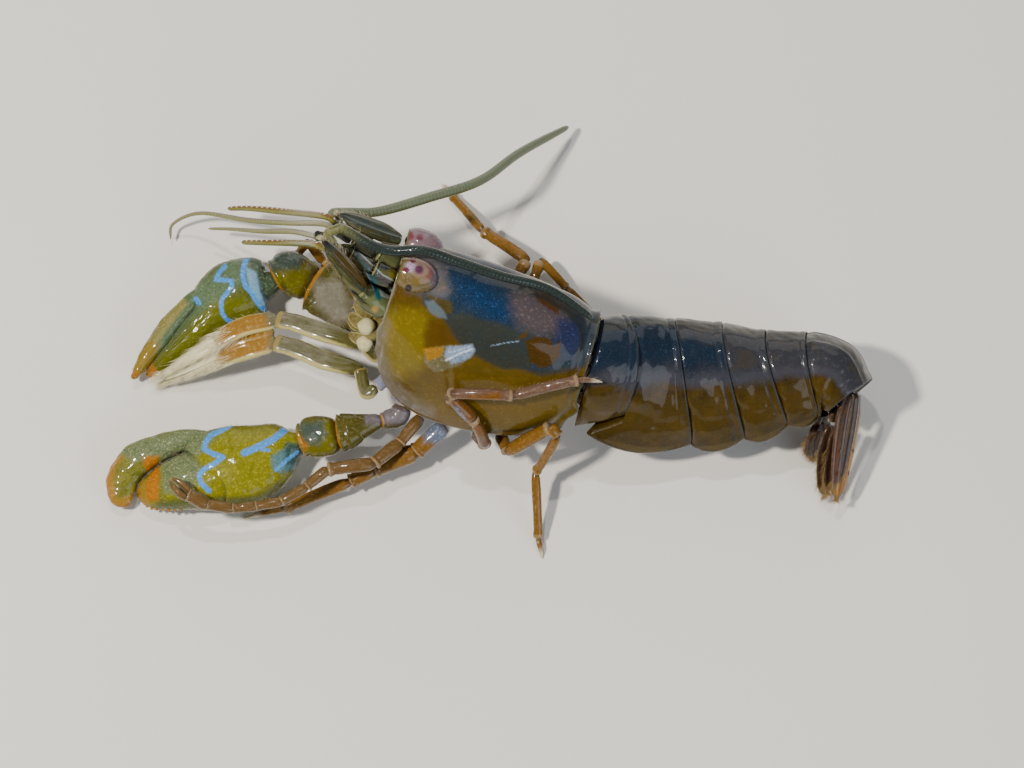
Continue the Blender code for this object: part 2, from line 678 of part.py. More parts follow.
# Walking legs: joints outwards from the start, half widths of the lengths between them, and
# the number of the joint at which the leg is parted.
LEGS = {
    "leg_2_left": {
        "joints": (
            (-21.0, -3.9, 4.3), (-23.2, -5.9, 4.7), (-27.2, -6.5, 4.8), (-29.0, -8.0, 4.6),
            (-31.2, -9.2, 4.2), (-33.4, -9.6, 4.1), (-35.4, -9.8, 4.2), (-37.6, -9.6, 4.7),
            (-39.2, -8.9, 5.3), (-40.7, -7.6, 5.6),
        ),
        "halves": (0.55, 0.62, 0.62, 0.5, 0.45, 0.45, 0.45, 0.5, 0.6, 0.62),
        "part": 3,
    },
    "leg_3_left": {
        "joints": (
            (-19.6, -4.2, 2.9), (-23.3, -5.6, 2.3), (-25.3, -6.6, 1.9), (-31.1, -8.7, 0.8),
            (-34.6, -9.4, 0.1),
        ),
        "halves": (0.8, 0.85, 0.7, 0.55, 0.35),
        "part": 2,
    },
    "leg_4_left": {
        "joints": (
            (-13.56, -4.5, 5.7), (-14.6, -3.35, 9.2), (-16.6, -2.1, 11.3), (-16.3, -2.2, 12.3),
            (-11.1, -2.4, 12.3), (-5.5, -1.25, 13.1), (-3.5, -1.2, 12.4),
        ),
        "halves": (0.6, 0.6, 0.6, 0.5, 0.5, 0.48, 0.3),
        "part": 3,
    },
    "leg_5_left": {
        "joints": (
            (-11.6, -4.9, 5.0), (-7.9, -3.9, 8.4), (-7.3, -4.5, 8.0), (-9.2, -6.3, 3.6),
            (-8.95, -11.4, 0.7), (-8.6, -13.0, 0.05),
        ),
        "halves": (0.55, 0.62, 0.55, 0.46, 0.4, 0.28),
        "part": 2,
    },
    "leg_2_right": {
        "joints": (
            (-20.6, 6.6, 1.1), (-24.2, 10.4, 1.0), (-27.9, 14.0, 1.9), (-29.2, 15.2, 3.4),
            (-30.2, 14.6, 1.9), (-30.6, 13.2, 0.7), (-30.8, 11.6, 0.6),
        ),
        "halves": (0.42, 0.48, 0.48, 0.45, 0.4, 0.35, 0.3),
        "part": 3,
    },
    "leg_3_right": {
        "joints": (
            (-14.6, 6.3, 0.9), (-9.9, 13.7, 2.9), (-13.8, 16.8, 2.0), (-16.6, 20.8, 0.5),
            (-17.5, 22.1, 0.05),
        ),
        "halves": (0.5, 0.55, 0.55, 0.42, 0.28),
        "part": 2,
    },
    "leg_4_right": {
        "joints": (
            (-11.6, 6.0, 0.9), (-8.7, 13.9, 2.3), (-6.4, 11.6, 1.4), (-3.4, 8.6, 0.45), (-2.4, 7.9, 0.05),
        ),
        "halves": (0.5, 0.5, 0.42, 0.38, 0.28),
        "part": 2,
    },
    "leg_5_right": {
        "joints": (
            (-9.4, 5.0, 0.9), (-6.6, 9.4, 2.2), (-3.6, 8.0, 1.6), (0.6, 6.9, 0.45), (1.9, 6.6, 0.05),
        ),
        "halves": (0.45, 0.45, 0.4, 0.36, 0.28),
        "part": 2,
    },
}
SHORT_LENGTH = 1.5  # a length of leg below this has a ring at its start only
# Rings along a length of leg: the share of the length, and the share of the half width.
LENGTH_SHAPE = ((0.0, 0.85), (0.2, 1.0), (0.8, 1.0))
TIP_SHAPE = ((0.0, 0.8), (0.35, 0.85), (0.75, 0.5))
LEG_FLATNESS = 0.85


def leg_path(start, leg):
    joints = np.vstack([start[1], leg["joints"]])
    path, halves, marks = [start[0]], [leg["halves"][0] * 0.85], []
    for index, half in enumerate(leg["halves"]):
        low, high = joints[index], joints[index + 1]
        shape = TIP_SHAPE if index == len(leg["halves"]) - 1 else LENGTH_SHAPE
        if np.linalg.norm(high - low) < SHORT_LENGTH:
            shape = shape[:1]
        marks.append(len(path))
        for share, size in shape:
            path.append(low + (high - low) * share)
            halves.append(half * size)
    path.append(joints[-1])
    halves.append(0.12)
    return path, [(half, half * LEG_FLATNESS) for half in halves], marks


def build_leg(name, leg, frame, collection):
    pair, side = name.rsplit("_", 1)
    way, start = limb_start(frame, pair, side)
    path, halves, marks = leg_path(start, leg)
    rings, planes = limb_rings(path, halves, (0.05, 0.1, 1.0), 8, 2.0, way)
    names = (f"{pair}_upper_{side}", f"{pair}_lower_{side}")
    for made in parted(names, rings, planes, [marks[leg["part"]]], collection):
        rest_on_floor(made)


MAXILLIPEDS = {
    "left": (
        (-24.4, 2.4, 5.6), (-27.5, 3.4, 5.3), (-30.4, 4.7, 5.1), (-32.0, 5.2, 4.9), (-32.7, 5.1, 4.6),
        (-35.0, 4.7, 3.9), (-37.2, 4.2, 2.9), (-39.8, 3.4, 1.7), (-41.6, 2.9, 0.9),
    ),
    "right": (
        (-24.2, 4.9, 5.3), (-27.4, 5.9, 5.3), (-30.3, 7.0, 5.1), (-31.9, 7.4, 4.9), (-32.6, 7.2, 4.8),
        (-34.9, 6.7, 4.6), (-37.2, 5.5, 4.0), (-39.9, 4.1, 3.0), (-42.1, 3.1, 2.1),
    ),
}
MAXILLIPED_HALVES = (
    (0.5, 0.5), (0.55, 0.5),
    (0.6, 0.5), (0.9, 0.5), (0.85, 0.45), (0.6, 0.4), (0.75, 0.42),
    (0.8, 0.4), (0.6, 0.35), (0.35, 0.28), (0.12, 0.12),
)


def build_maxilliped(side, points, frame, collection):
    way, start = limb_start(frame, "maxilliped", side)
    rings, _ = limb_rings(np.vstack([start, points]), MAXILLIPED_HALVES, (0.0, 0.2, 1.0), 10, 2.2, way)
    loft(f"maxilliped_{side}", rings, collection)


# Mouth plates: distance ahead, half width, upper and lower end of each ring.
MOUTH_ROWS = (
    (17.75, 2.9, 0.0, -2.3), (18.2, 2.9, 0.3, -2.7), (18.8, 2.4, 0.2, -2.4), (19.2, 1.6, -0.3, -1.8),
)
MOUTH_LOBES = (((18.7, 2.5, -0.4), (0.75, 0.7, 0.8)), ((18.4, 2.6, -2.2), (0.7, 0.65, 0.8)))
MOUTH_SIDES = 16


def build_mouth(frame, collection):
    # The bulge of mouth plates under the feelers, with two pale lobes on each side.
    angle = np.arange(MOUTH_SIDES) * math.tau / MOUTH_SIDES
    rings = []
    for ahead, half_width, top, bottom in MOUTH_ROWS:
        up = (top + bottom) / 2 + (top - bottom) / 2 * np.sin(angle)
        rings.append(frame.at(np.full(MOUTH_SIDES, ahead), half_width * np.cos(angle), up))
    mouth = loft("mouthparts", rings, collection)
    lobes = []
    for (ahead, side, up), radii in MOUTH_LOBES:
        for way in (1, -1):
            lobes.append(ball("lobe", frame.at(ahead, way * side, up), radii, frame, collection, 8, 6))
    combine(mouth, lobes, "UNION")


# Feelers. Places in the body frame are distance ahead, to the left and above; the free
# ends of the whips are points of the layout.
ANTENNULE_ROOT = (17.75, 1.0, 4.2)
ANTENNULE_TIP = {"left": (23.6, 0.45, 5.2), "right": (23.6, -1.5, 5.9)}
ANTENNULE_SHARES = (0.0, 0.3, 0.36, 0.7, 0.75, 1.0)
ANTENNULE_HALVES = ((0.82, 0.78), (0.85, 0.8), (0.76, 0.7), (0.78, 0.72), (0.68, 0.62), (0.72, 0.62))
WHIP_SPREAD = 0.52
WHIP_CLEARANCE = 0.5  # from the face that carries a whip to the whip's own end
THICK_WHIP = {
    "right": ((-30.5, 14.9, 11.2), (-34.1, 16.7, 7.6), (-36.2, 17.5, 5.6)),
    "left": ((-30.2, 12.2, 10.8), (-33.2, 13.5, 7.6), (-34.9, 14.2, 5.9)),
}
THIN_WHIP = {
    "right": (
        (-30.6, 14.1, 10.7), (-34.3, 15.8, 7.1), (-38.7, 17.7, 4.0), (-41.2, 17.5, 2.0), (-41.5, 16.4, 1.0),
    ),
    "left": ((-30.2, 13.1, 11.2), (-33.0, 14.4, 8.0), (-36.0, 15.8, 5.0), (-38.0, 16.4, 3.6)),
}
THICK_WHIP_RADII = (0.3, 0.3, 0.3, 0.2)
THIN_WHIP_RADII = (0.25, 0.25, 0.25, 0.2, 0.12)
ANTENNA = {
    "left": {
        "root": (17.65, 2.45, 2.0), "knee": (20.3, 2.7, 3.4),
        "tip": (23.3, 1.9, 6.7), "scale": (24.4, 3.1, 7.9),
    },
    "right": {
        "root": (17.65, -2.45, 2.0), "knee": (20.2, -3.4, 2.6),
        "tip": (23.0, -4.7, 3.6), "scale": (23.6, -3.3, 5.9),
    },
}
ANTENNA_HALVES = ((1.05, 1.05), (1.2, 1.15), (0.75, 0.7), (0.55, 0.5), (0.5, 0.45))
SCALE_FOOT = (-0.4, 1.35, 1.15)  # from the knee to the foot of the scale
SCALE_HALVES = ((0.45, 0.3), (0.8, 0.3), (0.7, 0.28), (0.15, 0.2))
WHIP_LEFT = (
    (23.7, 1.6, 8.1), (22.9, 1.5, 8.4), (20.6, 1.5, 7.6), (18.5, 1.5, 7.6), (15.9, 1.4, 8.45),
    (13.0, 1.1, 8.1), (9.0, 1.0, 7.8), (5.0, 0.4, 7.4), (1.5, 1.0, 6.6), (0.4, 1.3, 6.15),
)
WHIP_RIGHT = (
    (-26.5, 13.9, 13.6), (-25.2, 13.8, 13.9), (-22.6, 14.3, 12.9), (-18.3, 16.2, 11.5),
    (-14.0, 18.6, 9.4), (-10.5, 22.5, 6.4), (-6.2, 26.9, 1.8),
)
ANTENNA_WHIP_RADII = (0.4, 0.42, 0.45, 0.45, 0.44, 0.42, 0.4, 0.36, 0.25)


def build_antennule(side, way, frame, collection):
    # Three short lengths, each a little thinner, that carry two whips.
    ahead, sideways, up = ANTENNULE_ROOT
    root = np.array([ahead, way * sideways, up])
    tip = np.array(ANTENNULE_TIP[side])
    path = [frame.at(*(root + (tip - root) * share)) for share in ANTENNULE_SHARES]
    rings, planes = limb_rings(path, ANTENNULE_HALVES, frame.dorsal, 8)
    loft(f"antennule_{side}", rings, collection)
    face = path[-1] + planes[-1] * WHIP_CLEARANCE
    across = frame.left * WHIP_SPREAD * way
    for name, foot, points, radii in (
        ("outer", face + across, THICK_WHIP[side], THICK_WHIP_RADII),
        ("inner", face - across, THIN_WHIP[side], THIN_WHIP_RADII),
    ):
        start = [foot, foot + planes[-1] * COXA_STUB]
        tube(f"antennule_{name}_whip_{side}", [*start, *points], radii, collection)


def build_antenna(side, way, frame, collection):
    # A stout base with a stick that carries the long whip, and a leaf-shaped scale beside it.
    root, knee, tip, scale_tip = [np.array(place) for place in ANTENNA[side].values()]
    places = (root, (root + knee) / 2, knee, knee * 0.4 + tip * 0.6, tip)
    path = [frame.at(*place) for place in places]
    rings, planes = limb_rings(path, ANTENNA_HALVES, frame.dorsal, 10, 2.0, frame.forward)
    loft(f"antenna_base_{side}", rings, collection)
    ahead, sideways, up = SCALE_FOOT
    foot = knee + np.array([ahead, way * sideways, up])
    path_of_scale = [frame.at(*(foot + (scale_tip - foot) * share)) for share in (0.0, 0.3, 0.65, 1.0)]
    scale, _ = limb_rings(path_of_scale, SCALE_HALVES, frame.dorsal, 8)
    loft(f"antenna_scale_{side}", scale, collection)
    start = path[-1] + planes[-1] * WHIP_CLEARANCE
    bend = start + planes[-1] * COXA_STUB
    points = [frame.at(*place) for place in WHIP_LEFT] if way > 0 else WHIP_RIGHT
    tube(f"antenna_whip_{side}", [start, bend, *points], ANTENNA_WHIP_RADII, collection)


SHELL_COLOURS = {
    "carapace": NAVY,
    "tail": NAVY,
    "telson": NAVY,
    "uropod": BROWN,
    "eye": DARK_EYE,
    "claw": CLAW_GREEN,
    "leg": BROWN,
    "maxilliped": OLIVE,
    "anten": GREY,
    "chest": GREY,
    "mouthparts": OLIVE,
}


def finish_colours(collection):
    for made in collection.objects:
        colour = next(value for key, value in SHELL_COLOURS.items() if made.name.startswith(key))
        made.data.materials.clear()
        made.data.materials.append(wet_shell(made.name + "_shell", colour))


def main():
    clear_scene()
    collection = new_collection(COLLECTION_NAME)
    frame = BodyFrame(CARAPACE_ORIGIN, CARAPACE_FORWARD, CARAPACE_ROLL)
    build_carapace(frame, collection)
    build_eyes(frame, collection)
    build_chest(frame, collection)
    build_mouth(frame, collection)
    for side, way in (("left", 1), ("right", -1)):
        build_antennule(side, way, frame, collection)
        build_antenna(side, way, frame, collection)
    for number in range(1, len(RING_CUTS)):
        rest_on_floor(build_tail_ring(number, collection))
    build_tail_fan(collection)
    build_claw("left", CLAW_LEFT, frame, collection)
    build_claw("right", CLAW_RIGHT, frame, collection)
    for side, points in MAXILLIPEDS.items():
        build_maxilliped(side, points, frame, collection)
    for name, leg in LEGS.items():
        build_leg(name, leg, frame, collection)
    finish_colours(collection)


main()
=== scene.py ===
import math

import bpy
import numpy as np
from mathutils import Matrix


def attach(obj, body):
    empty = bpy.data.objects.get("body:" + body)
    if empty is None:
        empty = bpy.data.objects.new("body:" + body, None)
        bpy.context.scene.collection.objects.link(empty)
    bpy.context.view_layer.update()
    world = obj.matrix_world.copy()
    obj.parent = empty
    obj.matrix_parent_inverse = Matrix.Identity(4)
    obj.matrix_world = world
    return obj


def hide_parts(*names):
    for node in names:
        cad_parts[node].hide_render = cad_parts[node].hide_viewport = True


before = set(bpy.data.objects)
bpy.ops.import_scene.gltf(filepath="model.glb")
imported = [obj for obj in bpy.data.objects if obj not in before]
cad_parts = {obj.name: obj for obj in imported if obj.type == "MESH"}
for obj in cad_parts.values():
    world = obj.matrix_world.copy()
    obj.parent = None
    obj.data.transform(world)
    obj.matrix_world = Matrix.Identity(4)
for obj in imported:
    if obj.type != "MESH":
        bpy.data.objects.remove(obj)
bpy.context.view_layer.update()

mm = 0.001
restSpot = np.array([5.8, 0.67, 0.0])  # the layout's place under the third tail ring
markNames = {}  # the marks that each finish reads
chance = np.random.default_rng(11)

# The view: the camera stands 70 degrees above the floor, square to the body.
viewOf = {
    "lens": 180.0, "sensor": 36.0, "distance": 450.0, "elevation": 70.0,
    "target": (-11.23, 3.14, 0.0), "width": 1024, "height": 768,
}


def unit(vector):
    # Each vector over its length.
    vector = np.asarray(vector, float)
    return vector / np.linalg.norm(vector, axis=-1, keepdims=True)


# The ways towards the camera, and right and up in its picture.
elevation = math.radians(viewOf["elevation"])
toCamera = np.array([0.0, -math.cos(elevation), math.sin(elevation)])
picRight = np.array([1.0, 0.0, 0.0])
picUp = np.cross(picRight, -toCamera)
eyeSpot = np.array(viewOf["target"]) + toCamera * viewOf["distance"]
midPixel = np.array([viewOf["width"], viewOf["height"]]) / 2
pixelStep = viewOf["sensor"] / viewOf["lens"] / viewOf["width"]  # a pixel's width over its depth
pixelMm = 1 / 11.4  # one pixel of the photograph on the animal, in mm


def photoPlace(points):
    # Where a point of the layout falls in the photograph: x and y over depth, in its pixels.
    fromEye = points - eyeSpot
    depth = fromEye @ -toCamera * pixelStep
    return midPixel + np.stack([fromEye @ picRight, -(fromEye @ picUp)], -1) / depth[..., None]


def fromPhoto(spots, high):
    # The reverse: the place of the layout at these heights above the floor that falls on each pixel.
    x, y = np.moveaxis((np.asarray(spots, float) - midPixel) * pixelStep, -1, 0)
    way = np.multiply.outer(x, picRight) - np.multiply.outer(y, picUp) - toCamera
    return eyeSpot + way * ((np.asarray(high, float) - eyeSpot[2]) / way[..., 2])[..., None]


def lineDistance(places, line):
    # Distance to a broken line: the least over its runs of the distance to the nearest point.
    line = np.asarray(line, float)
    least = np.full(places.shape[:-1], 1e9)
    for start, end in zip(line, line[1:]):
        run = end - start
        share = np.clip(((places - start) @ run) / (run @ run), 0, 1)
        least = np.minimum(least, np.linalg.norm(places - start - share[..., None] * run, axis=-1))
    return least


def bandShare(places, line, width):
    # How far inside a band of this width a place is, in mm, along a line in pixels.
    return (width / 2 - lineDistance(places, line)) * pixelMm


def areaShare(places, outline):
    # How far inside a closed outline in pixels a place is, in mm, by counting crossings.
    outline = np.asarray(outline, float)
    inside = np.zeros(places.shape[:-1], bool)
    x, y = places[..., 0], places[..., 1]
    for (x0, y0), (x1, y1) in zip(outline, np.roll(outline, -1, 0)):
        if y0 != y1:
            inside ^= ((y0 > y) != (y1 > y)) & (x < (x1 - x0) * (y - y0) / (y1 - y0) + x0)
    away = lineDistance(places, np.vstack([outline, outline[:1]]))
    return np.where(inside, away, -away) * pixelMm


def spotShare(places, centre, radius):
    # How far inside a circle a place is, in mm; its centre and radius are in pixels.
    return (radius - np.linalg.norm(places - np.array(centre), axis=-1)) * pixelMm


def photoMarks(grid, shapes):
    # Every mark of a dictionary read at the grid's places, in pixels: a line comes with its
    # width, a spot with its radius, and an outline alone.
    places, marks = photoPlace(grid), {}
    for name, shape in shapes.items():
        if len(shape) > 2:
            marks[name] = areaShare(places, shape)
        else:
            read = bandShare if np.ndim(shape[0]) == 2 else spotShare
            marks[name] = read(places, *shape)
    return marks


def ripple(points, size, seed, waves=9):
    # Soft unevenness from -1 to 1: the mean of sine waves of about this size in mm.
    draw = np.random.default_rng(seed)
    way = unit(draw.normal(size=(waves, points.shape[-1])))
    pace = math.tau / (size * draw.uniform(0.7, 1.6, waves))
    shift = draw.uniform(0, math.tau, waves)
    return np.sin(points @ (way * pace[:, None]).T + shift).mean(-1) * math.sqrt(waves) * 0.7


def ease(value, low, high):
    # 0 below low, 1 above high, and a smooth cubic between.
    share = np.clip((value - low) / (high - low), 0, 1)
    return share * share * (3 - 2 * share)


def hump(value, middle, width):
    # 1 at the middle, falling off as a bell curve of this width.
    return np.exp(-((value - middle) / width) ** 2)


def flow(knots, values, wanted, even=False):
    # A cubic through the values at the knots. The slope at each is the mean of its two
    # neighbours', or with even their harmonic mean, so that nothing overshoots.
    knots, values = np.asarray(knots, float), np.asarray(values, float)
    column = values.reshape(len(values), -1)
    step = np.diff(knots)[:, None]
    rise = np.diff(column, axis=0) / step
    slope = np.vstack([rise[:1], (rise[:-1] + rise[1:]) / 2, rise[-1:]])
    if even:
        same = rise[:-1] * rise[1:]
        total = np.where(same > 0, rise[:-1] + rise[1:], 1.0)
        slope[1:-1] = np.where(same > 0, 2 * same / total, 0.0)
    wanted = np.asarray(wanted, float)
    place = np.clip(np.searchsorted(knots, wanted.ravel(), side="right") - 1, 0, len(knots) - 2)
    wide = step[place]
    share = np.clip((wanted.ravel() - knots[place])[:, None] / wide, 0, 1)
    full = (
        column[place] * (1 - 3 * share**2 + 2 * share**3)
        + column[place + 1] * (3 * share**2 - 2 * share**3)
        + slope[place] * wide * (share**3 - 2 * share**2 + share)
        + slope[place + 1] * wide * (share**3 - share**2)
    )
    return full.reshape(wanted.shape + values.shape[1:])


def alongLength(path):
    # The length so far at each point: the sum of the steps before it.
    steps = np.linalg.norm(np.diff(np.asarray(path, float), axis=0), axis=1)
    return np.concatenate([[0], np.cumsum(steps)])


class BodyFrame:
    # An origin with the forward, left and dorsal ways of a body that leans to its right.
    def __init__(self, origin, forward, roll):
        self.origin = np.asarray(origin, float)
        self.forward = unit(forward)
        levelLeft = unit(np.cross((0.0, 0.0, 1.0), self.forward))
        upright = np.cross(self.forward, levelLeft)
        turn = math.radians(roll)
        self.left = levelLeft * math.cos(turn) + upright * math.sin(turn)
        self.dorsal = upright * math.cos(turn) - levelLeft * math.sin(turn)

    def at(self, ahead, left, up):
        # The origin plus each part times its way.
        place = np.multiply.outer(ahead, self.forward) + np.multiply.outer(left, self.left)
        return self.origin + place + np.multiply.outer(up, self.dorsal)

    def line(self, rows):
        # The places of rows of ahead, left and up.
        return self.at(*np.array(rows, float).T)

    def ways(self):
        # Forward, left and dorsal as three rows.
        return np.array([self.forward, self.left, self.dorsal])


bodyAt = {"origin": (-5.3, 1.78, 8.8), "forward": (-0.96, 0.236, 0.15), "roll": 30.0}
body = BodyFrame(**bodyAt)


def outward(grid):
    # The way out at each point of a grid: the cross of its steps round and along, turned so
    # that, on the whole, it points from each row's middle.
    around = np.roll(grid, -1, 1) - np.roll(grid, 1, 1)
    way = np.cross(around, np.gradient(grid, axis=0))
    way = way / np.maximum(np.linalg.norm(way, axis=-1, keepdims=True), 1e-9)
    return way if (way * (grid - grid.mean(1, keepdims=True))).sum() > 0 else -way


def quadNet(rows, cols):
    # The quads of a grid that is closed round its columns: a point, the next in its row and
    # the two behind them.
    row, col = np.arange(rows - 1)[:, None] * cols, np.arange(cols)
    after = (col + 1) % cols
    return np.stack([row + col, row + after, row + cols + after, row + cols + col], -1).reshape(-1, 4)


def gridPart(grid, marks=None, lay=None):
    # A skin over a grid of rows and columns, closed round the columns and at both ends by
    # a pole at the middle of the end row. Faces that point inwards are turned.
    rows, cols = grid.shape[:2]

    def withPoles(values):
        # the grid's values, then the means of its first and last rows
        return np.concatenate([values.reshape(-1, *values.shape[2:]), values[:1].mean(1), values[-1:].mean(1)])

    quads = quadNet(rows, cols)
    corner = np.stack(np.meshgrid(np.arange(cols) / cols, np.arange(rows - 1) / rows), -1).reshape(-1, 1, 2)
    side, top = np.arange(cols), (rows - 1) * cols
    beside, pole = (side + 1) % cols, np.full(cols, rows * cols)
    low, high = np.stack([pole, beside, side], -1), np.stack([pole + 1, top + side, top + beside], -1)
    triangleUv = np.zeros((2 * cols, 3, 2))
    triangleUv[cols:, :, 1] = 1.0
    triangleUv[:, :, 0] = np.tile(side / cols, 2)[:, None]
    part = {
        "points": withPoles(grid), "quads": quads, "triangles": np.vstack([low, high]),
        "uv": corner + np.array([(0, 0), (1, 0), (1, 1), (0, 1)]) / (cols, rows), "triangleUv": triangleUv,
        "marks": {name: withPoles(np.broadcast_to(value, (rows, cols))) for name, value in (marks or {}).items()},
        "lay": withPoles(0 * grid if lay is None else lay),
    }
    corners = part["points"][quads]
    across = np.cross(corners[:, 2] - corners[:, 0], corners[:, 3] - corners[:, 1])
    if (across * (corners.mean(1) - part["points"].mean(0))).sum() < 0:
        for key in ("quads", "uv", "triangles", "triangleUv"):
            part[key] = part[key][:, ::-1]
    return part


def setMarks(parts, **values):
    # One value of a mark for the whole of each part.
    for part in parts:
        part["marks"].update({name: np.full(len(part["points"]), value) for name, value in values.items()})


def newPiece(name, parts, paint, standsFor=(), uvName="skin"):
    # One object from a list of parts: their points, faces, marks and map joined.
    def joined(key):
        return np.concatenate([part[key] for part in parts])

    starts = np.cumsum([0, *(len(part["points"]) for part in parts)])
    quads, triangles = [
        np.concatenate([part[key] + start for part, start in zip(parts, starts)])
        for key in ("quads", "triangles")
    ]
    points = (joined("points") - restSpot) * mm
    points[:, 2] = np.maximum(points[:, 2], 0.0)  # nothing goes through the floor
    uv = np.concatenate([joined("uv").ravel(), joined("triangleUv").ravel()])
    loops = np.concatenate([quads.ravel(), triangles.ravel()])
    sizes = np.repeat([4, 3], [len(quads), len(triangles)])
    mesh = bpy.data.meshes.new(name)
    mesh.vertices.add(len(points))
    mesh.vertices.foreach_set("co", points.astype(np.float32).ravel())
    mesh.loops.add(len(loops))
    mesh.loops.foreach_set("vertex_index", loops.astype(np.int32))
    mesh.polygons.add(len(sizes))
    mesh.polygons.foreach_set("loop_start", (np.cumsum(sizes) - sizes).astype(np.int32))
    mesh.update(calc_edges=True)
    mesh.uv_layers.new(name=uvName).data.foreach_set("uv", uv.astype(np.float32))
    for key in markNames[paint.name]:
        layer = mesh.attributes.new(key, "FLOAT", "POINT")
        values = [part["marks"].get(key, np.full(len(part["points"]), -9.0)) for part in parts]
        layer.data.foreach_set("value", np.concatenate(values).astype(np.float32))
    layer = mesh.attributes.new("lay", "FLOAT_VECTOR", "POINT")
    layer.data.foreach_set("vector", joined("lay").astype(np.float32).ravel())
    mesh.shade_smooth()
    mesh.materials.append(paint)
    piece = bpy.data.objects.new(name, mesh)
    bpy.context.scene.collection.objects.link(piece)
    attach(piece, "root")
    if standsFor:
        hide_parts(*standsFor)


def ovalRow(cols, power=2.0):
    # An oval's cosine and sine round the columns, squarer above power 2.
    angle = np.arange(cols) * math.tau / cols
    cosine, sine = np.cos(angle), np.sin(angle)
    bend = 2.0 / power
    return np.sign(cosine) * np.abs(cosine) ** bend, np.sign(sine) * np.abs(sine) ** bend


def sweep(centres, halfAcross, halfThick, flat, cols, power=2.0, start=None):
    # A profile carried along a path: at each point an oval in the plane square to the path.
    # Gives the grid and its lay: mm across, mm through and mm along.
    centres = np.asarray(centres, float)
    ways = unit(np.gradient(centres, axis=0))
    if start is not None:
        ways[0] = unit(start)
    across = unit(np.cross(flat, ways))
    for row in range(1, len(across)):
        if across[row] @ across[row - 1] < 0:
            across[row] = -across[row]
    thick = np.cross(ways, across)
    cosine, sine = ovalRow(cols, power)
    x = np.multiply.outer(halfAcross, cosine)
    y = np.multiply.outer(halfThick, sine)
    grid = centres[:, None] + x[..., None] * across[:, None] + y[..., None] * thick[:, None]
    along = np.broadcast_to(alongLength(centres)[:, None], x.shape)
    return grid, np.stack([x, y, along], -1)


def roundEnds(share, first, last):
    # 1 along the middle, falling to 0 at both ends as a quarter of an ellipse.
    start = np.clip(share / first, 0, 1) if first else np.ones_like(share)
    end = np.clip((1 - share) / last, 0, 1) if last else np.ones_like(share)
    return np.sqrt(np.maximum(1 - (1 - start) ** 2, 0)) * np.sqrt(np.maximum(1 - (1 - end) ** 2, 0))


def roundShares(rows, ends=0.12):
    # Shares from 0 to 1 that crowd towards both ends.
    even = np.linspace(0, 1, rows)
    return even * (1 - ends) + ends * (1 - np.cos(even * math.pi)) / 2


def domePart(centre, radii, axes, rows=28, cols=36, marks=None, relief=None):
    # An egg: half axes times the sine and cosine of two angles, along three ways.
    polar = np.linspace(0.02, math.pi - 0.02, rows)[:, None]
    turn = np.arange(cols) * math.tau / cols
    wide = np.sin(polar)
    shape = np.stack([np.cos(polar) + 0 * turn, wide * np.cos(turn), wide * np.sin(turn)], -1) * radii
    grid = centre + shape @ np.asarray(axes)
    if relief is not None:
        grid = grid + outward(grid) * relief(grid)[..., None]
    return gridPart(grid, marks, shape)


def bristleParts(roots, ways, lengths, thick, uvAt):
    # Fine hairs, all at once: each a straight three-sided spike of a few rows that thins
    # evenly to 0.07 of its root. Each hair's patch of the map is 0.003 wide.
    count, rows, patch = len(roots), 4, 0.003
    if not count:
        return []
    ways = unit(ways)
    side = unit(np.cross(ways, (0.31, 0.52, 0.79)) + 1e-6)
    other = np.cross(ways, side)
    share = np.linspace(0, 1, rows)
    centre = roots[:, None] + ways[:, None] * np.multiply.outer(lengths, share)[..., None]
    angle = np.arange(3)[:, None] * math.tau / 3
    ring = np.cos(angle) * side[:, None, None] + np.sin(angle) * other[:, None, None]
    points = centre[:, :, None] + (thick * (1 - 0.93 * share))[:, None, None] * ring
    base = (np.arange(count) * rows * 3)[:, None, None]
    ends = np.array([[2, 1, 0], [rows * 3 - 3, rows * 3 - 2, rows * 3 - 1]])
    v = np.repeat(np.arange(rows - 1), 3)[:, None] / rows + np.array([0, 0, 1, 1]) / rows
    u = np.tile(np.arange(3), rows - 1)[:, None] / 3 + np.array([0, 1, 1, 0]) / 3
    return [{
        "points": points.reshape(-1, 3), "quads": (base + quadNet(rows, 3)).reshape(-1, 4),
        "uv": (uvAt[:, None, None] + np.stack([u, v], -1) * patch).reshape(-1, 4, 2),
        "triangles": (base + ends).reshape(-1, 3),
        "triangleUv": np.broadcast_to(uvAt[:, None, None], (count, 2, 3, 2)).reshape(-1, 3, 2),
        "lay": np.zeros((count * rows * 3, 3)), "marks": {"share": np.tile(np.repeat(share, 3), count)},
    }]


def growOn(grid, rows, cols, lengths, lean, thick, rise=1.0):
    # Hairs at places of a grid, counted in rows and columns: each stands along the skin's
    # outward way, leant by a share of the way along the rows, and starts 0.02 mm deep.
    rows, cols = np.asarray(rows) % grid.shape[0], np.asarray(cols) % grid.shape[1]
    normal = outward(grid)[rows, cols]
    along = unit(np.gradient(grid, axis=0) + 1e-9)[rows, cols]
    ways = unit(normal * rise + along * np.asarray(lean)[..., None]) + chance.normal(size=(len(rows), 3)) * 0.14
    uvAt = np.stack([cols / grid.shape[1], rows / grid.shape[0]], -1) * 0.99
    return bristleParts(grid[rows, cols] - normal * 0.02, ways, lengths, thick, uvAt)


def scatter(grid, count, rows, cols, lengths, leans, thick, rise=1.0):
    # So many hairs between these rows and columns, of random places, lengths and leans.
    at = [chance.integers(*ends, count) for ends in (rows, cols)]
    return growOn(grid, *at, chance.uniform(*lengths, count), chance.uniform(*leans, count), thick, rise)


def linearOf(code):
    # An sRGB hex colour as linear light.
    parts = [int(code[i : i + 2], 16) / 255 for i in (0, 2, 4)]
    return [p / 12.92 if p <= 0.04045 else ((p + 0.055) / 1.055) ** 2.4 for p in parts] + [1.0]


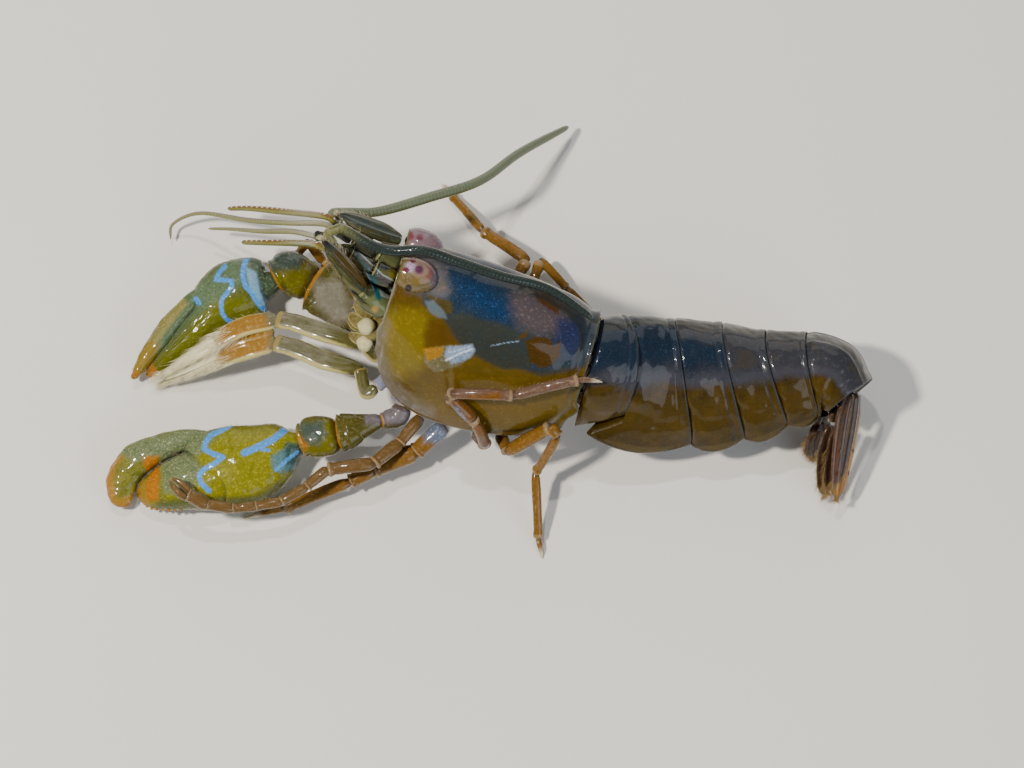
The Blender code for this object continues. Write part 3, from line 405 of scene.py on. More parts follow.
def addNode(tree, kind, settings=None, links=None, values=None):
    # One node with its settings, the values of its sockets and what is linked to them.
    node = tree.nodes.new(kind)
    for key, value in (settings or {}).items():
        setattr(node, key, value)
    for key, value in (values or {}).items():
        node.inputs[key].default_value = value
    for key, source in (links or {}).items():
        tree.links.new(source, node.inputs[key])
    return node


def perMetre(size):
    # The scale that repeats a pattern every so many mm on Object coordinates.
    return 1000.0 / size


def wetFinish(
    name, base, specks=(), marks=(), rough=(0.24, 0.42), bump=0.25, bumpSize=0.35, depth=0.06, stretch=False,
    pits=0.0, pitSize=0.45, coat=0.7, clear=0.0, soft=0.06,
):
    # Wet cuticle: a base colour, specks from noise of a real size, then marks. A mark is an
    # attribute in mm inside its edge, made ragged by noise and laid over what is below. The
    # coat is the water film, and the cuticle below it keeps its IOR relative to water.
    made = bpy.data.materials.new(name)
    markNames[name] = [mark[0] for mark in marks]
    made.use_nodes = True
    tree = made.node_tree
    shader = tree.nodes["Principled BSDF"]
    where = addNode(tree, "ShaderNodeTexCoord").outputs["Object"]
    lay = addNode(tree, "ShaderNodeAttribute", {"attribute_name": "lay"}).outputs["Vector"]
    colour = addNode(tree, "ShaderNodeRGB").outputs[0]
    colour.default_value = linearOf(base)
    softStep = {"interpolation_type": "SMOOTHSTEP"}

    def grain(size, detail=3.0, drawnOut=False):
        # noise of about this size in mm, or eight times as long along the lay
        source, scale = where, perMetre(size)
        if drawnOut:
            squeeze = {"Scale": (1 / size, 1 / size, 0.12 / size)}
            source, scale = addNode(tree, "ShaderNodeMapping", None, {"Vector": lay}, squeeze).outputs[0], 1.0
        values = {"Scale": scale, "Detail": detail, "Roughness": 0.6}
        return addNode(tree, "ShaderNodeTexNoise", None, {"Vector": source}, values).outputs["Fac"]

    def laid(below, code, value, low, high, top, inside=None):
        # a colour laid over the one below, from none at low to its top share at high
        share = addNode(
            tree, "ShaderNodeMapRange", softStep, {"Value": value},
            {"From Min": low, "From Max": high, "To Max": top}
        ).outputs["Result"]
        if inside is not None:
            share = addNode(tree, "ShaderNodeMath", {"operation": "MULTIPLY"}, {0: share, 1: inside}).outputs[0]
        sources = {"Factor": share, 6: below}
        return addNode(tree, "ShaderNodeMix", {"data_type": "RGBA"}, sources, {7: linearOf(code)}).outputs[2]

    for size, low, high, top, code, *drawnOut in specks:
        colour = laid(colour, code, grain(size, 3.0, bool(drawnOut)), low, high, top)
    for mark, code, edge, ragged, size, top, *more in marks:
        value = addNode(tree, "ShaderNodeAttribute", {"attribute_name": mark}).outputs["Fac"]
        shift = addNode(tree, "ShaderNodeMath", {"operation": "SUBTRACT"}, {0: value}, {1: ragged}).outputs[0]
        sources = {0: grain(size, 4.0), 2: shift}
        uneven = addNode(tree, "ShaderNodeMath", {"operation": "MULTIPLY_ADD"}, sources, {1: 2 * ragged}).outputs[0]
        colour = laid(colour, code, uneven, -edge, edge, top)
        inside = addNode(
            tree, "ShaderNodeMapRange", softStep, {"Value": uneven}, {"From Min": -edge, "From Max": edge}
        ).outputs["Result"]
        for size, low, high, top, code in more:
            colour = laid(colour, code, grain(size), low, high, top, inside)
    sheen = addNode(
        tree, "ShaderNodeMapRange", None, {"Value": grain(1.3, 4.0)},
        {"From Min": 0.3, "From Max": 0.7, "To Min": rough[0], "To Max": rough[1]},
    )
    height = grain(bumpSize, 5.0, stretch)
    if pits:
        cells = addNode(
            tree, "ShaderNodeTexVoronoi", {"feature": "SMOOTH_F1"}, {"Vector": where},
            {"Scale": perMetre(pitSize), "Smoothness": 0.6},
        ).outputs["Distance"]
        sources = {0: cells, 2: height}
        height = addNode(tree, "ShaderNodeMath", {"operation": "MULTIPLY_ADD"}, sources, {1: pits}).outputs[0]
    relief = addNode(tree, "ShaderNodeBump", None, {"Height": height}, {"Strength": bump, "Distance": depth * mm})
    for socket, source in (("Base Color", colour), ("Roughness", sheen.outputs["Result"]),
                           ("Normal", relief.outputs["Normal"])):
        tree.links.new(source, shader.inputs[socket])
    for socket, value in {
        "IOR": 1.17, "Specular IOR Level": 0.5, "Coat Weight": coat, "Coat Roughness": 0.05, "Coat IOR": 1.33,
        "Transmission Weight": clear, "Subsurface Weight": soft, "Subsurface Scale": 0.6 * mm,
        "Subsurface Radius": (1.0, 0.5, 0.3),
    }.items():
        shader.inputs[socket].default_value = value
    return made


# Where specks begin and end in their noise, and how much of them shows.
fine, finer, sparse = (0.5, 0.66, 0.6), (0.5, 0.68, 0.6), (0.52, 0.68, 0.6)
cloudy, dense, even = (0.42, 0.64, 0.7), (0.5, 0.66, 0.7), (0.5, 0.7, 0.6)
print("helpers ready")

carapace = {
    # distance ahead of the rear rim, half width, height of the back, depth of the lower edge
    "stations": (
        (0.0, 4.1, 4.9, -4.4), (1.2, 4.5, 5.4, -5.2), (3.2, 4.9, 6.0, -6.1), (6.0, 5.1, 6.5, -6.8),
        (9.0, 5.2, 6.8, -7.1), (12.0, 5.0, 7.0, -7.0), (14.0, 4.6, 7.1, -6.5), (15.5, 4.2, 7.0, -5.5),
        (16.5, 3.8, 6.8, -4.3), (17.3, 3.4, 6.4, -2.4),
    ),
    "wall": 0.9, "hollow": 2.2, "edge": 0.82, "shoulder": 0.42, "round": 0.87,
    "rows": 150, "outer": 210, "inner": 54, "rearBulge": 0.9, "frontBulge": 0.35,
}


def sectionTable(outer, inner, edge, roundness, nominal):
    # The section of a body shell as shares of its sizes: columns for half width, wall, height
    # above and depth below the shoulder, hollow and wall again, spread evenly by length.
    fall = np.linspace(1, 0, 40, endpoint=False)
    angle = np.linspace(0, math.pi, 160)
    cosine, sine = np.cos(angle), np.sin(angle)

    def columns(*six):
        return np.stack(np.broadcast_arrays(*six), 1)

    flank = columns(1 - (1 - edge) * fall**2, 0, 0, fall, 0, 0)
    back = columns(np.sign(cosine) * np.abs(cosine) ** roundness, 0, sine**roundness, 0, 0, 0)
    otherFlank = flank[::-1] * (-1, 1, 1, 1, 1, 1)
    turn = np.linspace(0, math.pi, 16)[1:-1]
    lip = columns(-edge, 0.5 * (1 - np.cos(turn)), 0, 1, 0, -0.45 * np.sin(turn))
    across = np.linspace(-1, 1, 60)
    trough = columns(across * edge, -across, 0, 1, 1 - np.abs(across) ** 5, 0)
    otherLip = lip[::-1] * (-1, -1, 1, 1, 1, 1)
    half, top, bottom, wall, hollow, shoulder = nominal

    def spread(table, count, endpoint):
        x = table[:, 0] * half + table[:, 1] * wall
        y = table[:, 2] * (top - shoulder) - table[:, 3] * (shoulder - bottom) + table[:, 4] * hollow
        length = alongLength(np.stack([x, y + table[:, 5] * wall], 1))
        wanted = np.linspace(0, length[-1], count, endpoint=endpoint)
        return np.stack([np.interp(wanted, length, table[:, c]) for c in range(6)], 1)

    over = spread(np.vstack([flank, back, otherFlank]), outer, False)
    under = spread(np.vstack([otherFlank[-1:], lip, trough, otherLip, flank[:1]]), inner, False)
    return np.vstack([over, under])


def shellPoints(table, half, top, bottom, wall, hollow, shoulderShare):
    # Left and up of each column: the shares times the sizes at each row.
    shoulder = bottom + shoulderShare * (top - bottom)
    x = table[:, 0] * half + table[:, 1] * wall
    y = shoulder + table[:, 2] * (top - shoulder) - table[:, 3] * (shoulder - bottom)
    return x, y + table[:, 4] * hollow + table[:, 5] * wall


def carapaceSizes(ahead):
    # Half width, top and bottom by a cubic through the stations.
    stations = np.array(carapace["stations"])
    sizes = flow(stations[:, 0], stations[:, 1:], np.clip(ahead, 0, 17.3), True)
    return sizes[..., 0], sizes[..., 1], sizes[..., 2]


# Outlines of the colour fields of the left flank, in the photograph's pixels. The right
# flank wears the same ones mirrored.
flankShapes = {
    "navy": ((404, 236), (440, 238), (500, 262), (560, 290), (612, 306), (606, 345), (584, 366), (560, 372),
        (536, 374), (512, 366), (488, 358), (462, 346), (448, 326), (440, 312), (424, 304), (408, 262)),
    "slate": ((444, 318), (462, 312), (480, 320), (498, 322), (512, 330), (530, 336), (540, 352), (530, 368),
        (504, 370), (484, 360), (462, 348), (450, 332)),
    "deep": ((440, 266), (470, 268), (500, 284), (516, 296), (520, 312), (508, 326), (486, 322), (468, 312),
        (456, 312), (448, 300)),
    "ink": ((456, 280), (478, 284), (500, 300), (512, 312), (500, 322), (480, 312), (462, 298)),
    "olive": ((372, 300), (412, 302), (440, 314), (452, 330), (462, 348), (500, 368), (540, 376), (600, 372),
        (604, 440), (360, 440), (360, 300)),
    "amber": ((376, 316), (404, 308), (424, 312), (434, 330), (430, 352), (418, 372), (396, 378), (380, 356)),
    "umber": ((430, 318), (448, 326), (458, 344), (440, 346), (426, 350), (422, 338)),
    "ochre": ((440, 372), (520, 378), (566, 372), (566, 402), (540, 424), (470, 430), (432, 420), (420, 396)),
    "grey": ((366, 310), (381, 306), (386, 322), (384, 345), (388, 368), (398, 388), (414, 402), (432, 412),
        (430, 432), (366, 420)),
    "mauve": ((512, 290), (540, 292), (566, 304), (568, 320), (556, 334), (538, 334), (520, 326), (512, 310)),
    "rearBlue": ((558, 318), (580, 320), (584, 340), (574, 360), (556, 346)),
    "blotch": ((526, 342), (534, 337), (548, 338), (554, 346), (561, 340), (561, 354), (552, 366), (540, 367),
        (530, 362)),
    "blotchTwo": ((535, 291), (548, 296), (562, 306), (558, 313), (546, 306), (536, 299)),
    "blotchThree": ((515, 339), (522, 334), (529, 331), (526, 338)),
    "fan": ((424, 350), (446, 346), (472, 344), (475, 351), (470, 357), (461, 365), (445, 370), (434, 372),
        (424, 362)),
    "fanAmber": ((422, 349), (444, 347), (441, 357), (428, 361)),
    "fanWhite": ((446, 348), (472, 344), (475, 351), (469, 358), (452, 364), (444, 357)),
    "browEye": ((402, 256), (434, 258), (446, 268), (450, 290), (446, 298), (424, 296), (408, 292),
        (400, 278)),
    "browOlive": ((425, 294), (438, 298), (452, 302), (453, 314), (444, 314), (432, 303)),
    "browBlue": ((424, 301), (434, 301), (443, 310), (447, 319), (438, 318), (428, 311)),
    "paleLine": (((491, 346), (505, 343), (519, 341)), 1.4),
    "fanRay": (((446, 361), (458, 354), (472, 349)), 1.6),
    "fanRayTwo": (((448, 353), (460, 350), (471, 346)), 1.3),
    "shadeLine": (((522, 290), (546, 298), (568, 311), (580, 324), (583, 342), (577, 358)), 5.0),
    "lowLine": (((420, 424), (445, 429), (480, 433), (520, 430), (556, 424)), 2.2),
}


def drawnIn(row, way, steps):
    # Copies of a row, each drawn towards its middle by a share and moved along a way by mm.
    middle = row.mean(1, keepdims=True)
    return np.concatenate([row + (middle - row) * share + way * ahead for share, ahead in steps])


def padRows(marks, before, after):
    # The marks of a grid with its end rows repeated, for the rims put before and after it.
    return {
        name: np.concatenate([np.repeat(v[:1], before, 0), v, np.repeat(v[-1:], after, 0)])
        for name, v in marks.items()
    }


def carapaceGrid():
    # Rows run from the rear margin to the front one; both margins bulge at mid flank, and at
    # each end the shell turns in over a lip.
    outer, inner = carapace["outer"], carapace["inner"]
    table = sectionTable(outer, inner, carapace["edge"], carapace["round"], (5.0, 6.8, -6.8, 0.9, 2.2, -1.1))
    share = np.linspace(0, 1, carapace["rows"])[:, None]
    flank = hump(table[:, 3], 0.28, 0.34) * (table[:, 4] < 0.2)
    rear = -carapace["rearBulge"] * flank + 0.15
    front = 17.45 + carapace["frontBulge"] * flank - 0.1 * table[:, 2]
    ahead = rear + (front - rear) * share
    half, top, bottom = carapaceSizes(ahead)
    hollow = np.minimum(carapace["hollow"], 0.4 * (top - bottom))
    x, y = shellPoints(table, half, top, bottom, carapace["wall"], hollow, carapace["shoulder"])
    isOuter = np.broadcast_to(np.arange(outer + inner) < outer, x.shape)
    grid = body.at(ahead, x, y)
    way = outward(grid)
    # relief: flared rims, a keel behind the spike, a shallow groove over the flank, low swellings
    fromRear, fromFront = ahead - rear, front - ahead
    relief = 0.16 * hump(fromRear, 0, 0.35) - 0.1 * hump(fromRear, 0.75, 0.3)
    relief += 0.12 * hump(fromFront, 0, 0.25) - 0.08 * hump(fromFront, 0.6, 0.25)
    keel = hump(x, 0, 0.45) * (table[:, 2] > 0.5)
    relief += 0.32 * keel * ease(ahead, 10.5, 16.6) * (1 - ease(ahead, 17.1, 17.5))
    groove = hump((ahead - (11.2 + 0.35 * y)), 0, 0.35) * ease(np.abs(x), 3.0, 4.4) * (y > -4.5)
    relief -= 0.13 * groove
    relief += 0.1 * ripple(grid, 5.5, 3) + 0.035 * ripple(grid, 1.9, 4)
    orbit = np.exp(-(((ahead - 14.6) / 1.1) ** 2 + ((np.abs(x) - 2.9) / 0.9) ** 2)) * (table[:, 2] > 0.3)
    relief -= 0.18 * orbit
    relief = np.where(isOuter, relief, 0.02 * ripple(grid, 1.4, 5))
    grid = grid + way * relief[..., None]
    # both flanks wear the left one's marks
    marks = photoMarks(body.at(ahead, np.abs(x), y), flankShapes)
    marks["rim"], marks["frontRim"] = 0.17 - fromRear, 0.19 - fromFront
    marks["rimTwo"] = 0.09 - np.abs(fromRear - 0.62)
    marks["backLine"] = np.where(table[:, 2] > 0.5, 0.5 - np.abs(x), -9.0)
    marks = {name: np.where(isOuter, value, -9.0) for name, value in marks.items()}
    marks["under"] = np.where(isOuter, -9.0, 1.0)
    # the lip: rows drawn in towards the section's middle, then the closing pole
    rearLip = drawnIn(grid[:1], body.forward, ((0.42, 1.2), (0.14, 0.7), (0.03, 0.16)))
    frontLip = drawnIn(grid[-1:], body.forward, ((0.03, -0.16), (0.14, -0.6), (0.42, -1.2)))
    return np.concatenate([rearLip, grid, frontLip]), padRows(marks, 3, 3)


shellFinish = wetFinish(
    # carapace of a live shrimp: wet, smooth, with pigment showing through a thin clear layer
    "wet carapace cuticle, navy back and olive flank", "4c390a",
    specks=(
        (2.6, 0.42, 0.66, 0.75, "5c470e"), (0.5, 0.52, 0.7, 0.5, "36290a"), (0.16, 0.6, 0.72, 0.45, "7c6624"),
    ),
    marks=(
        ("olive", "4e3e08", 0.5, 0.5, 1.6, 0.9, (0.8, 0.5, 0.66, 0.5, "5e4e16")),
        ("ochre", "584406", 0.5, 0.4, 1.4, 0.75, (0.3, 0.55, 0.7, 0.5, "76621e")),
        ("navy", "222b33", 0.4, 0.4, 0.9, 1.0,
         (2.2, 0.45, 0.62, 0.7, "2c343a"), (0.35, 0.56, 0.68, 0.6, "11181f"), (0.12, 0.62, 0.7, 0.5, "56697c")),
        ("deep", "182a3e", 0.8, 0.7, 0.6, 0.85, (0.14, 0.56, 0.68, 0.6, "3d566e"),
            (0.4, 0.53, 0.68, 0.7, "10161d")),
        ("ink", "0b2a4c", 0.7, 0.7, 0.5, 0.75, (0.14, 0.56, 0.68, 0.6, "33618e"),
            (0.3, 0.53, 0.68, 0.6, "0e1a2c")),
        ("mauve", "4a4142", 0.9, 0.8, 0.7, 0.85, (0.25, 0.54, 0.68, 0.6, "70646a"),
            (0.5, 0.5, 0.66, 0.4, "5a4246")),
        ("rearBlue", "1e2440", 0.5, 0.5, 0.6, 0.85, (0.2, 0.55, 0.68, 0.6, "3c4670")),
        ("slate", "2c2f28", 0.25, 0.3, 0.7, 0.95, (0.2, 0.58, 0.7, 0.4, "41474a"),
            (1.2, 0.5, 0.66, 0.5, "252f38")),
        ("amber", "6c5e0e", 0.8, 0.5, 1.4, 0.85, (0.4, 0.55, 0.7, 0.5, "8a7c26")),
        ("umber", "4a3406", 0.4, 0.4, 0.8, 0.85),
        ("grey", "74706a", 0.8, 0.5, 1.2, 0.7, (0.35, *even, "5c5c3a"), (0.9, 0.52, 0.66, 0.5, "8d868a")),
        ("browEye", "524f50", 0.5, 0.4, 0.7, 0.85, (0.3, *dense, "3f474e"), (0.5, 0.54, 0.68, 0.6, "6e5862"),
         (0.9, 0.52, 0.66, 0.5, "605a30")),
        ("browOlive", "40350a", 0.15, 0.2, 0.4, 0.9),
        ("browBlue", "56646c", 0.15, 0.15, 0.4, 0.75),
        ("blotch", "3c2804", 0.08, 0.35, 0.4, 1.0, (0.2, 0.55, 0.7, 0.5, "5c4010")),
        ("blotchTwo", "442a0c", 0.1, 0.35, 0.4, 0.9), ("blotchThree", "44320a", 0.08, 0.2, 0.4, 0.9),
        ("fan", "5c5840", 0.1, 0.1, 0.35, 0.8, (0.3, *fine, "7c7a5e")),
        ("fanAmber", "8a6214", 0.12, 0.15, 0.4, 0.9, (0.2, *fine, "a88434")),
        ("fanWhite", "7c8ea8", 0.16, 0.18, 0.35, 0.9, (0.25, 0.48, 0.62, 0.7, "4c5f74")),
        ("fanRay", "d2dff0", 0.08, 0.06, 0.3, 0.9), ("fanRayTwo", "b8cbe4", 0.06, 0.06, 0.3, 0.85),
        ("paleLine", "7f94a8", 0.05, 0.08, 0.3, 0.8),
        ("backLine", "2c2a24", 0.4, 0.3, 1.0, 0.6),
        ("shadeLine", "22241c", 0.2, 0.12, 0.6, 0.75),
        ("lowLine", "1c180a", 0.08, 0.1, 0.4, 0.7),
        ("rimTwo", "39444a", 0.05, 0.05, 0.4, 0.4),
        ("rim", "3d443c", 0.07, 0.05, 0.4, 0.7),
        ("frontRim", "7c765c", 0.06, 0.06, 0.4, 0.8),
        ("under", "8f8478", 0.5, 0.3, 1.0, 0.9),
    ),
    rough=(0.2, 0.4), bump=0.3, bumpSize=0.22, pits=0.5, pitSize=0.3, coat=0.6,
)
hoodFinish = wetFinish(
    # clear hoods over the eyes: glassy tan, with the eye's rings and pigment showing through
    "clear orbital hood, tan with a wine eye", "6a5a36",
    specks=((0.9, 0.44, 0.64, 0.8, "5c5034"), (0.3, *fine, "86745a"), (0.14, 0.58, 0.7, 0.5, "45433c")),
    marks=(
        ("mauve", "5a5058", 0.4, 0.3, 0.6, 0.9, (0.3, *dense, "44566a"), (0.25, *sparse, "7a6470")),
        ("ochre", "6a5a22", 0.2, 0.15, 0.4, 0.8),
        ("peach", "8a7062", 0.25, 0.15, 0.4, 0.8, (0.2, *fine, "78767a")),
        ("lavender", "927c94", 0.15, 0.15, 0.3, 0.9, (0.15, *dense, "c0b2cc")),
        ("wine", "5a1226", 0.1, 0.12, 0.3, 0.9), ("wineTwo", "5a1226", 0.1, 0.12, 0.3, 0.9),
        ("arc", "844048", 0.14, 0.1, 0.3, 0.8),
        ("pupil", "461a3c", 0.2, 0.1, 0.3, 0.9, (0.15, 0.54, 0.68, 0.7, "74406c")),
        ("navy", "222b33", 0.4, 0.3, 0.8, 1.0, (0.35, 0.56, 0.68, 0.6, "11181f")),
        # hollow: a near-black spot, painted shade of a small hole that the hood's shape does not have
        ("hollow", "14161a", 0.06, 0.05, 0.3, 0.95),
        ("violet", "73606a", 0.5, 0.3, 0.6, 0.9, (0.3, 0.5, 0.7, 0.5, "8a7888"), (0.5, *sparse, "7a6250")),
        ("crimson", "6c2434", 0.2, 0.15, 0.3, 0.85), ("crimsonTwo", "5c1e2c", 0.2, 0.15, 0.3, 0.85),
        ("olive", "57512a", 0.12, 0.1, 0.4, 0.9),
    ),
    rough=(0.12, 0.26), bump=0.15, clear=0.05, soft=0.15, coat=1.0,
)
eyeFinish = wetFinish(
    # the eye itself: near black with a wine-red glow, very glossy
    "wet compound eye, wine black", "1c0610",
    specks=((0.35, *even, "4a0f22"), (0.09, 0.5, 0.6, 0.5, "0a0206")),
    rough=(0.08, 0.16), bump=0.25, bumpSize=0.06, coat=1.0,
)


def rostrumPart():
    # The spike: ovals along a line that rises ahead from the back.
    knots = np.array([-5.0, -2.0, 0.0, 1.4, 2.6])
    shape = np.array([(-0.75, 0.25, 0.4), (0.1, 0.5, 0.7), (0.4, 0.5, 0.5), (0.58, 0.3, 0.3), (0.74, 0.07, 0.07)])
    ahead = np.linspace(-5.0, 2.6, 60)
    row = flow(knots, shape, ahead, True)
    centres = body.at(16.9 + ahead, 0 * ahead, 6.2 + row[:, 0])
    grid, lay = sweep(centres, row[:, 1], row[:, 2], body.dorsal, 24)
    return gridPart(grid, {"backLine": 0.6, "rim": (ahead - 2.3)[:, None]}, lay)


newPiece("carapace_shell", [gridPart(*carapaceGrid()), rostrumPart()], shellFinish, ("carapace",))

hoods = {
    "centre": (16.15, 1.97, 6.1), "radii": (2.1, 1.54, 1.48), "eye": (16.8, 2.0, 6.3), "eyeRadius": 0.8,
    "mouth": 1.05, "rows": 64, "cols": 72,
    # what shows through each hood, in the photograph's pixels; on the left also a painted shade where a small hole
    # is
    "left": {
        "mauve": ((430, 258), (452, 266), (456, 290), (442, 296), (430, 284)),
        "ochre": ((413, 277), (426, 277), (424, 285), (414, 284)),
        "peach": ((420, 269), 9.0), "lavender": ((410, 267), 5.5),
        "wine": ((406, 270), 3.0), "wineTwo": ((413, 260), 3.0),
        "arc": (((425, 262), (430, 266), (432, 271), (430, 276), (426, 280)), 2.8),
        "pupil": ((419, 269.5), 4.4), "hollow": ((408.5, 288), 3.4),
        "navy": ((446, 250), (480, 262), (480, 300), (452, 298)),
    },
    "right": {
        "violet": ((380, 215), (470, 215), (470, 265), (380, 265)),
        "crimson": ((410, 236), 4.0), "crimsonTwo": ((420, 237), 3.4),
        "navy": ((428, 220), (470, 232), (470, 265), (420, 250)),
    },
}


def hoodPart(way):
    # A cup: an egg's radius from its rear pole over the brow to the front rim, then the
    # inner wall back round the eye.
    turn = np.arange(hoods["cols"]) * math.tau / hoods["cols"]
    shell = np.linspace(0.05, 2.25, hoods["rows"])[:, None]
    ahead = -np.cos(shell) * hoods["radii"][0]
    wide = np.sin(shell)
    inner = np.linspace(0, 1, 22)[:, None]
    frontAhead, frontWide = ahead[-1], wide[-1]
    ahead = np.vstack([ahead, frontAhead + 0.1 * np.sin(inner * math.pi) - inner * 1.9])
    room = hoods["mouth"] / hoods["radii"][1]
    wide = np.vstack([wide, frontWide + (room - frontWide) * ease(inner, 0, 0.35) - room * ease(inner, 0.7, 1.0)])
    _, halfWide, halfHigh = hoods["radii"]
    centreAhead, side, up = hoods["centre"]
    ahead = centreAhead + ahead
    grid = body.at(ahead, way * side + wide * np.cos(turn) * halfWide, up + wide * np.sin(turn) * halfHigh)
    grid = grid + outward(grid) * (0.035 * ripple(grid, 1.3, 8 + way))[..., None]
    marks = photoMarks(grid, hoods["left" if way > 0 else "right"])
    marks["olive"] = 0.16 - np.abs(ahead - (centreAhead - np.cos(2.25) * hoods["radii"][0]))
    return gridPart(grid, marks)


for side, way in (("left", 1), ("right", -1)):
    newPiece(f"orbital_hood_{side}", [hoodPart(way)], hoodFinish)
    ahead, across, up = hoods["eye"]
    radii = np.array((1.0, 0.95, 1.0)) * hoods["eyeRadius"]
    eye = domePart(body.at(ahead, way * across, up), radii, body.ways())
    newPiece(f"wet_eye_{side}", [eye], eyeFinish, (f"eye_{side}",))
print("carapace and eyes made")

tail = {
    # X, Y, Z of the centre, half width, half height, roll, backward slant of the lower edge
    "stations": (
        (-4.95, 1.62, 8.68, 4.0, 4.5, 32.0, 0.5), (-2.9, 1.38, 7.75, 4.2, 5.2, 38.0, 1.6),
        (0.0, 1.43, 6.42, 4.3, 5.5, 42.0, 2.0), (2.4, 1.44, 5.95, 4.3, 5.4, 42.0, 2.0),
        (6.8, 1.54, 5.82, 4.1, 4.95, 44.0, 2.0), (10.8, 1.6, 6.2, 3.7, 4.0, 46.0, 1.6),
        (14.2, 1.8, 6.6, 3.3, 3.45, 50.0, 1.0), (16.4, 1.4, 6.9, 3.0, 3.0, 52.0, 0.4),
        (17.9, -0.2, 6.6, 2.4, 2.2, 54.0, 0.0),
    ),
    "cuts": (0.0, 1.0, 3.0, 4.0, 5.0, 6.0, 8.0),
    "firstLobe": 0.35, "firstDrop": 0.52, "firstDepth": 0.52, "secondReach": 3.4, "secondFrom": 0.74,
    "wall": 0.8, "edge": 0.82, "round": 0.87, "shoulder": 0.42, "gap": 0.48,
    "rows": 46, "outer": 150, "inner": 44, "rearOver": 0.42,
}


def tailFrame(place):
    # The body frame and the sizes at a place counted in stations. The first station points
    # as the carapace does.
    stations = np.array(tail["stations"])
    count = np.arange(len(stations))

    def row(where):
        return flow(count, stations, np.array([min(max(where, 0), len(stations) - 1)]), True)[0]

    forward = unit(row(place - 0.5)[:3] - row(place + 0.5)[:3])
    if place < 1:
        near = max(place, 0)
        forward = unit(forward * near + unit(bodyAt["forward"]) * (1 - near))
    here = row(place)
    return BodyFrame(here[:3], forward, here[5]), here


def tailRing(number):
    # Each row is the body section at its place along the tail, slanted back below; the front
    # tucks in under the ring ahead and the rear rim flares over the ring behind.
    first, last = tail["cuts"][number - 1], tail["cuts"][number]
    outer, inner = tail["outer"], tail["inner"]
    table = sectionTable(outer, inner, tail["edge"], tail["round"], (4.1, 4.6, -4.4, 0.8, 2.0, -0.6))
    rows, marks, middles = [], [], []
    for share in np.linspace(0, 1, tail["rows"]):
        bodyHere, (_, _, _, half, tall, _, slant) = tailFrame(first + (last - first) * share)
        lobe = 0.72 + 0.28 * math.sin(math.pi * (0.12 + 0.76 * share))
        if number == 1:
            lobe = tail["firstLobe"] + tail["firstDrop"] * (1 - share)
        if number == 6:
            lobe = 0.85 - 0.1 * share
        taper = 1 - 0.03 * share
        half, tall = half * taper, tall * taper
        bottom = -tall * lobe
        x, y = shellPoints(table, half, tall, bottom, tail["wall"], -0.45 * bottom, tail["shoulder"])
        low = np.clip((tall - y) / (2 * tall), 0, 1)
        shift = -slant * low
        if number == 2:
            reach = np.clip((low - tail["secondFrom"]) / (1 - tail["secondFrom"]), 0, 1)
            shift = shift + tail["secondReach"] * reach * (1 - share)
        front, rear = (1 - share) ** 3, share**3
        shift = shift - tail["gap"] / 2 * front * 0.4 - tail["rearOver"] * rear + tail["gap"] / 2 * rear
        rows.append(bodyHere.at(shift, x, y))
        middles.append(bodyHere.forward)
        rearAway = (1 - share) * (last - first) * 3.2
        marks.append((x, y / tall, 0 * x + rearAway, low))
    grid = np.array(rows)
    across, height, rearAway, low = np.moveaxis(np.array(marks), 1, 0)
    share = np.linspace(0, 1, tail["rows"])[:, None]
    isOuter = np.arange(outer + inner) < outer
    fade = 1 - 0.7 * ease(low, 0.75, 1.0)
    relief = -0.2 * (1 - ease(share, 0.0, 0.14)) + 0.13 * ease(share, 0.72, 1.0)
    relief = relief + 0.1 * np.sin(math.pi * share) - 0.05 * hump(share, 0.84, 0.04)
    hinge = hump(low, 0.62, 0.07) * hump(share, 0, 0.3)
    relief = relief * fade - 0.22 * hinge + 0.05 * ripple(grid, 3.2, 20 + number)
    relief = relief + 0.02 * ripple(grid, 1.1, 40 + number)
    plate = hump(low, 0.7, 0.05)
    relief = relief - 0.08 * plate * np.sin(math.pi * share)
    if number == 6:
        relief = relief + 0.1 * hump(np.abs(across), 1.3, 0.25) * (height > 0.3)
    grid = grid + outward(grid) * np.where(isOuter, relief, 0)[..., None]
    # the rims turn in at both ends, and the last ring is closed by a shallow skin that the
    # fan comes out of
    rear = ((0.02, 0.08), (0.12, 0.5), (0.4, 0.9)) if number < 6 else ((0.02, 0.08), (0.1, 0.2), (0.5, 0.12))
    full = np.concatenate([
        drawnIn(grid[:1], middles[0], ((0.35, -0.7), (0.1, -0.25))), grid, drawnIn(grid[-1:], middles[-1], rear),
    ])
    above = height - 0.32 - 0.05 * ripple(grid, 3.0, 60 + number)
    named = {
        "navy": above * 4.5, "navyTop": (above - 0.3) * 4.5, "plum": above * 4.5 + min((number - 4.4) * 2, 0.4),
        "seam": 0.5 - np.abs(above - 0.06) * 4.5, "rim": 0.16 - rearAway,
        "rimTwo": 0.07 - np.abs(rearAway - 0.55),
        "backLine": np.where(height > 0.7, 0.55 - np.abs(across), -9.0),
        "plateEdge": (low - 0.94) * 9.0, "flankLight": (0.18 - np.abs(low - 0.66)) * 6,
    }
    return full, padRows({name: np.where(isOuter, value, -9.0) for name, value in named.items()}, 2, 3)


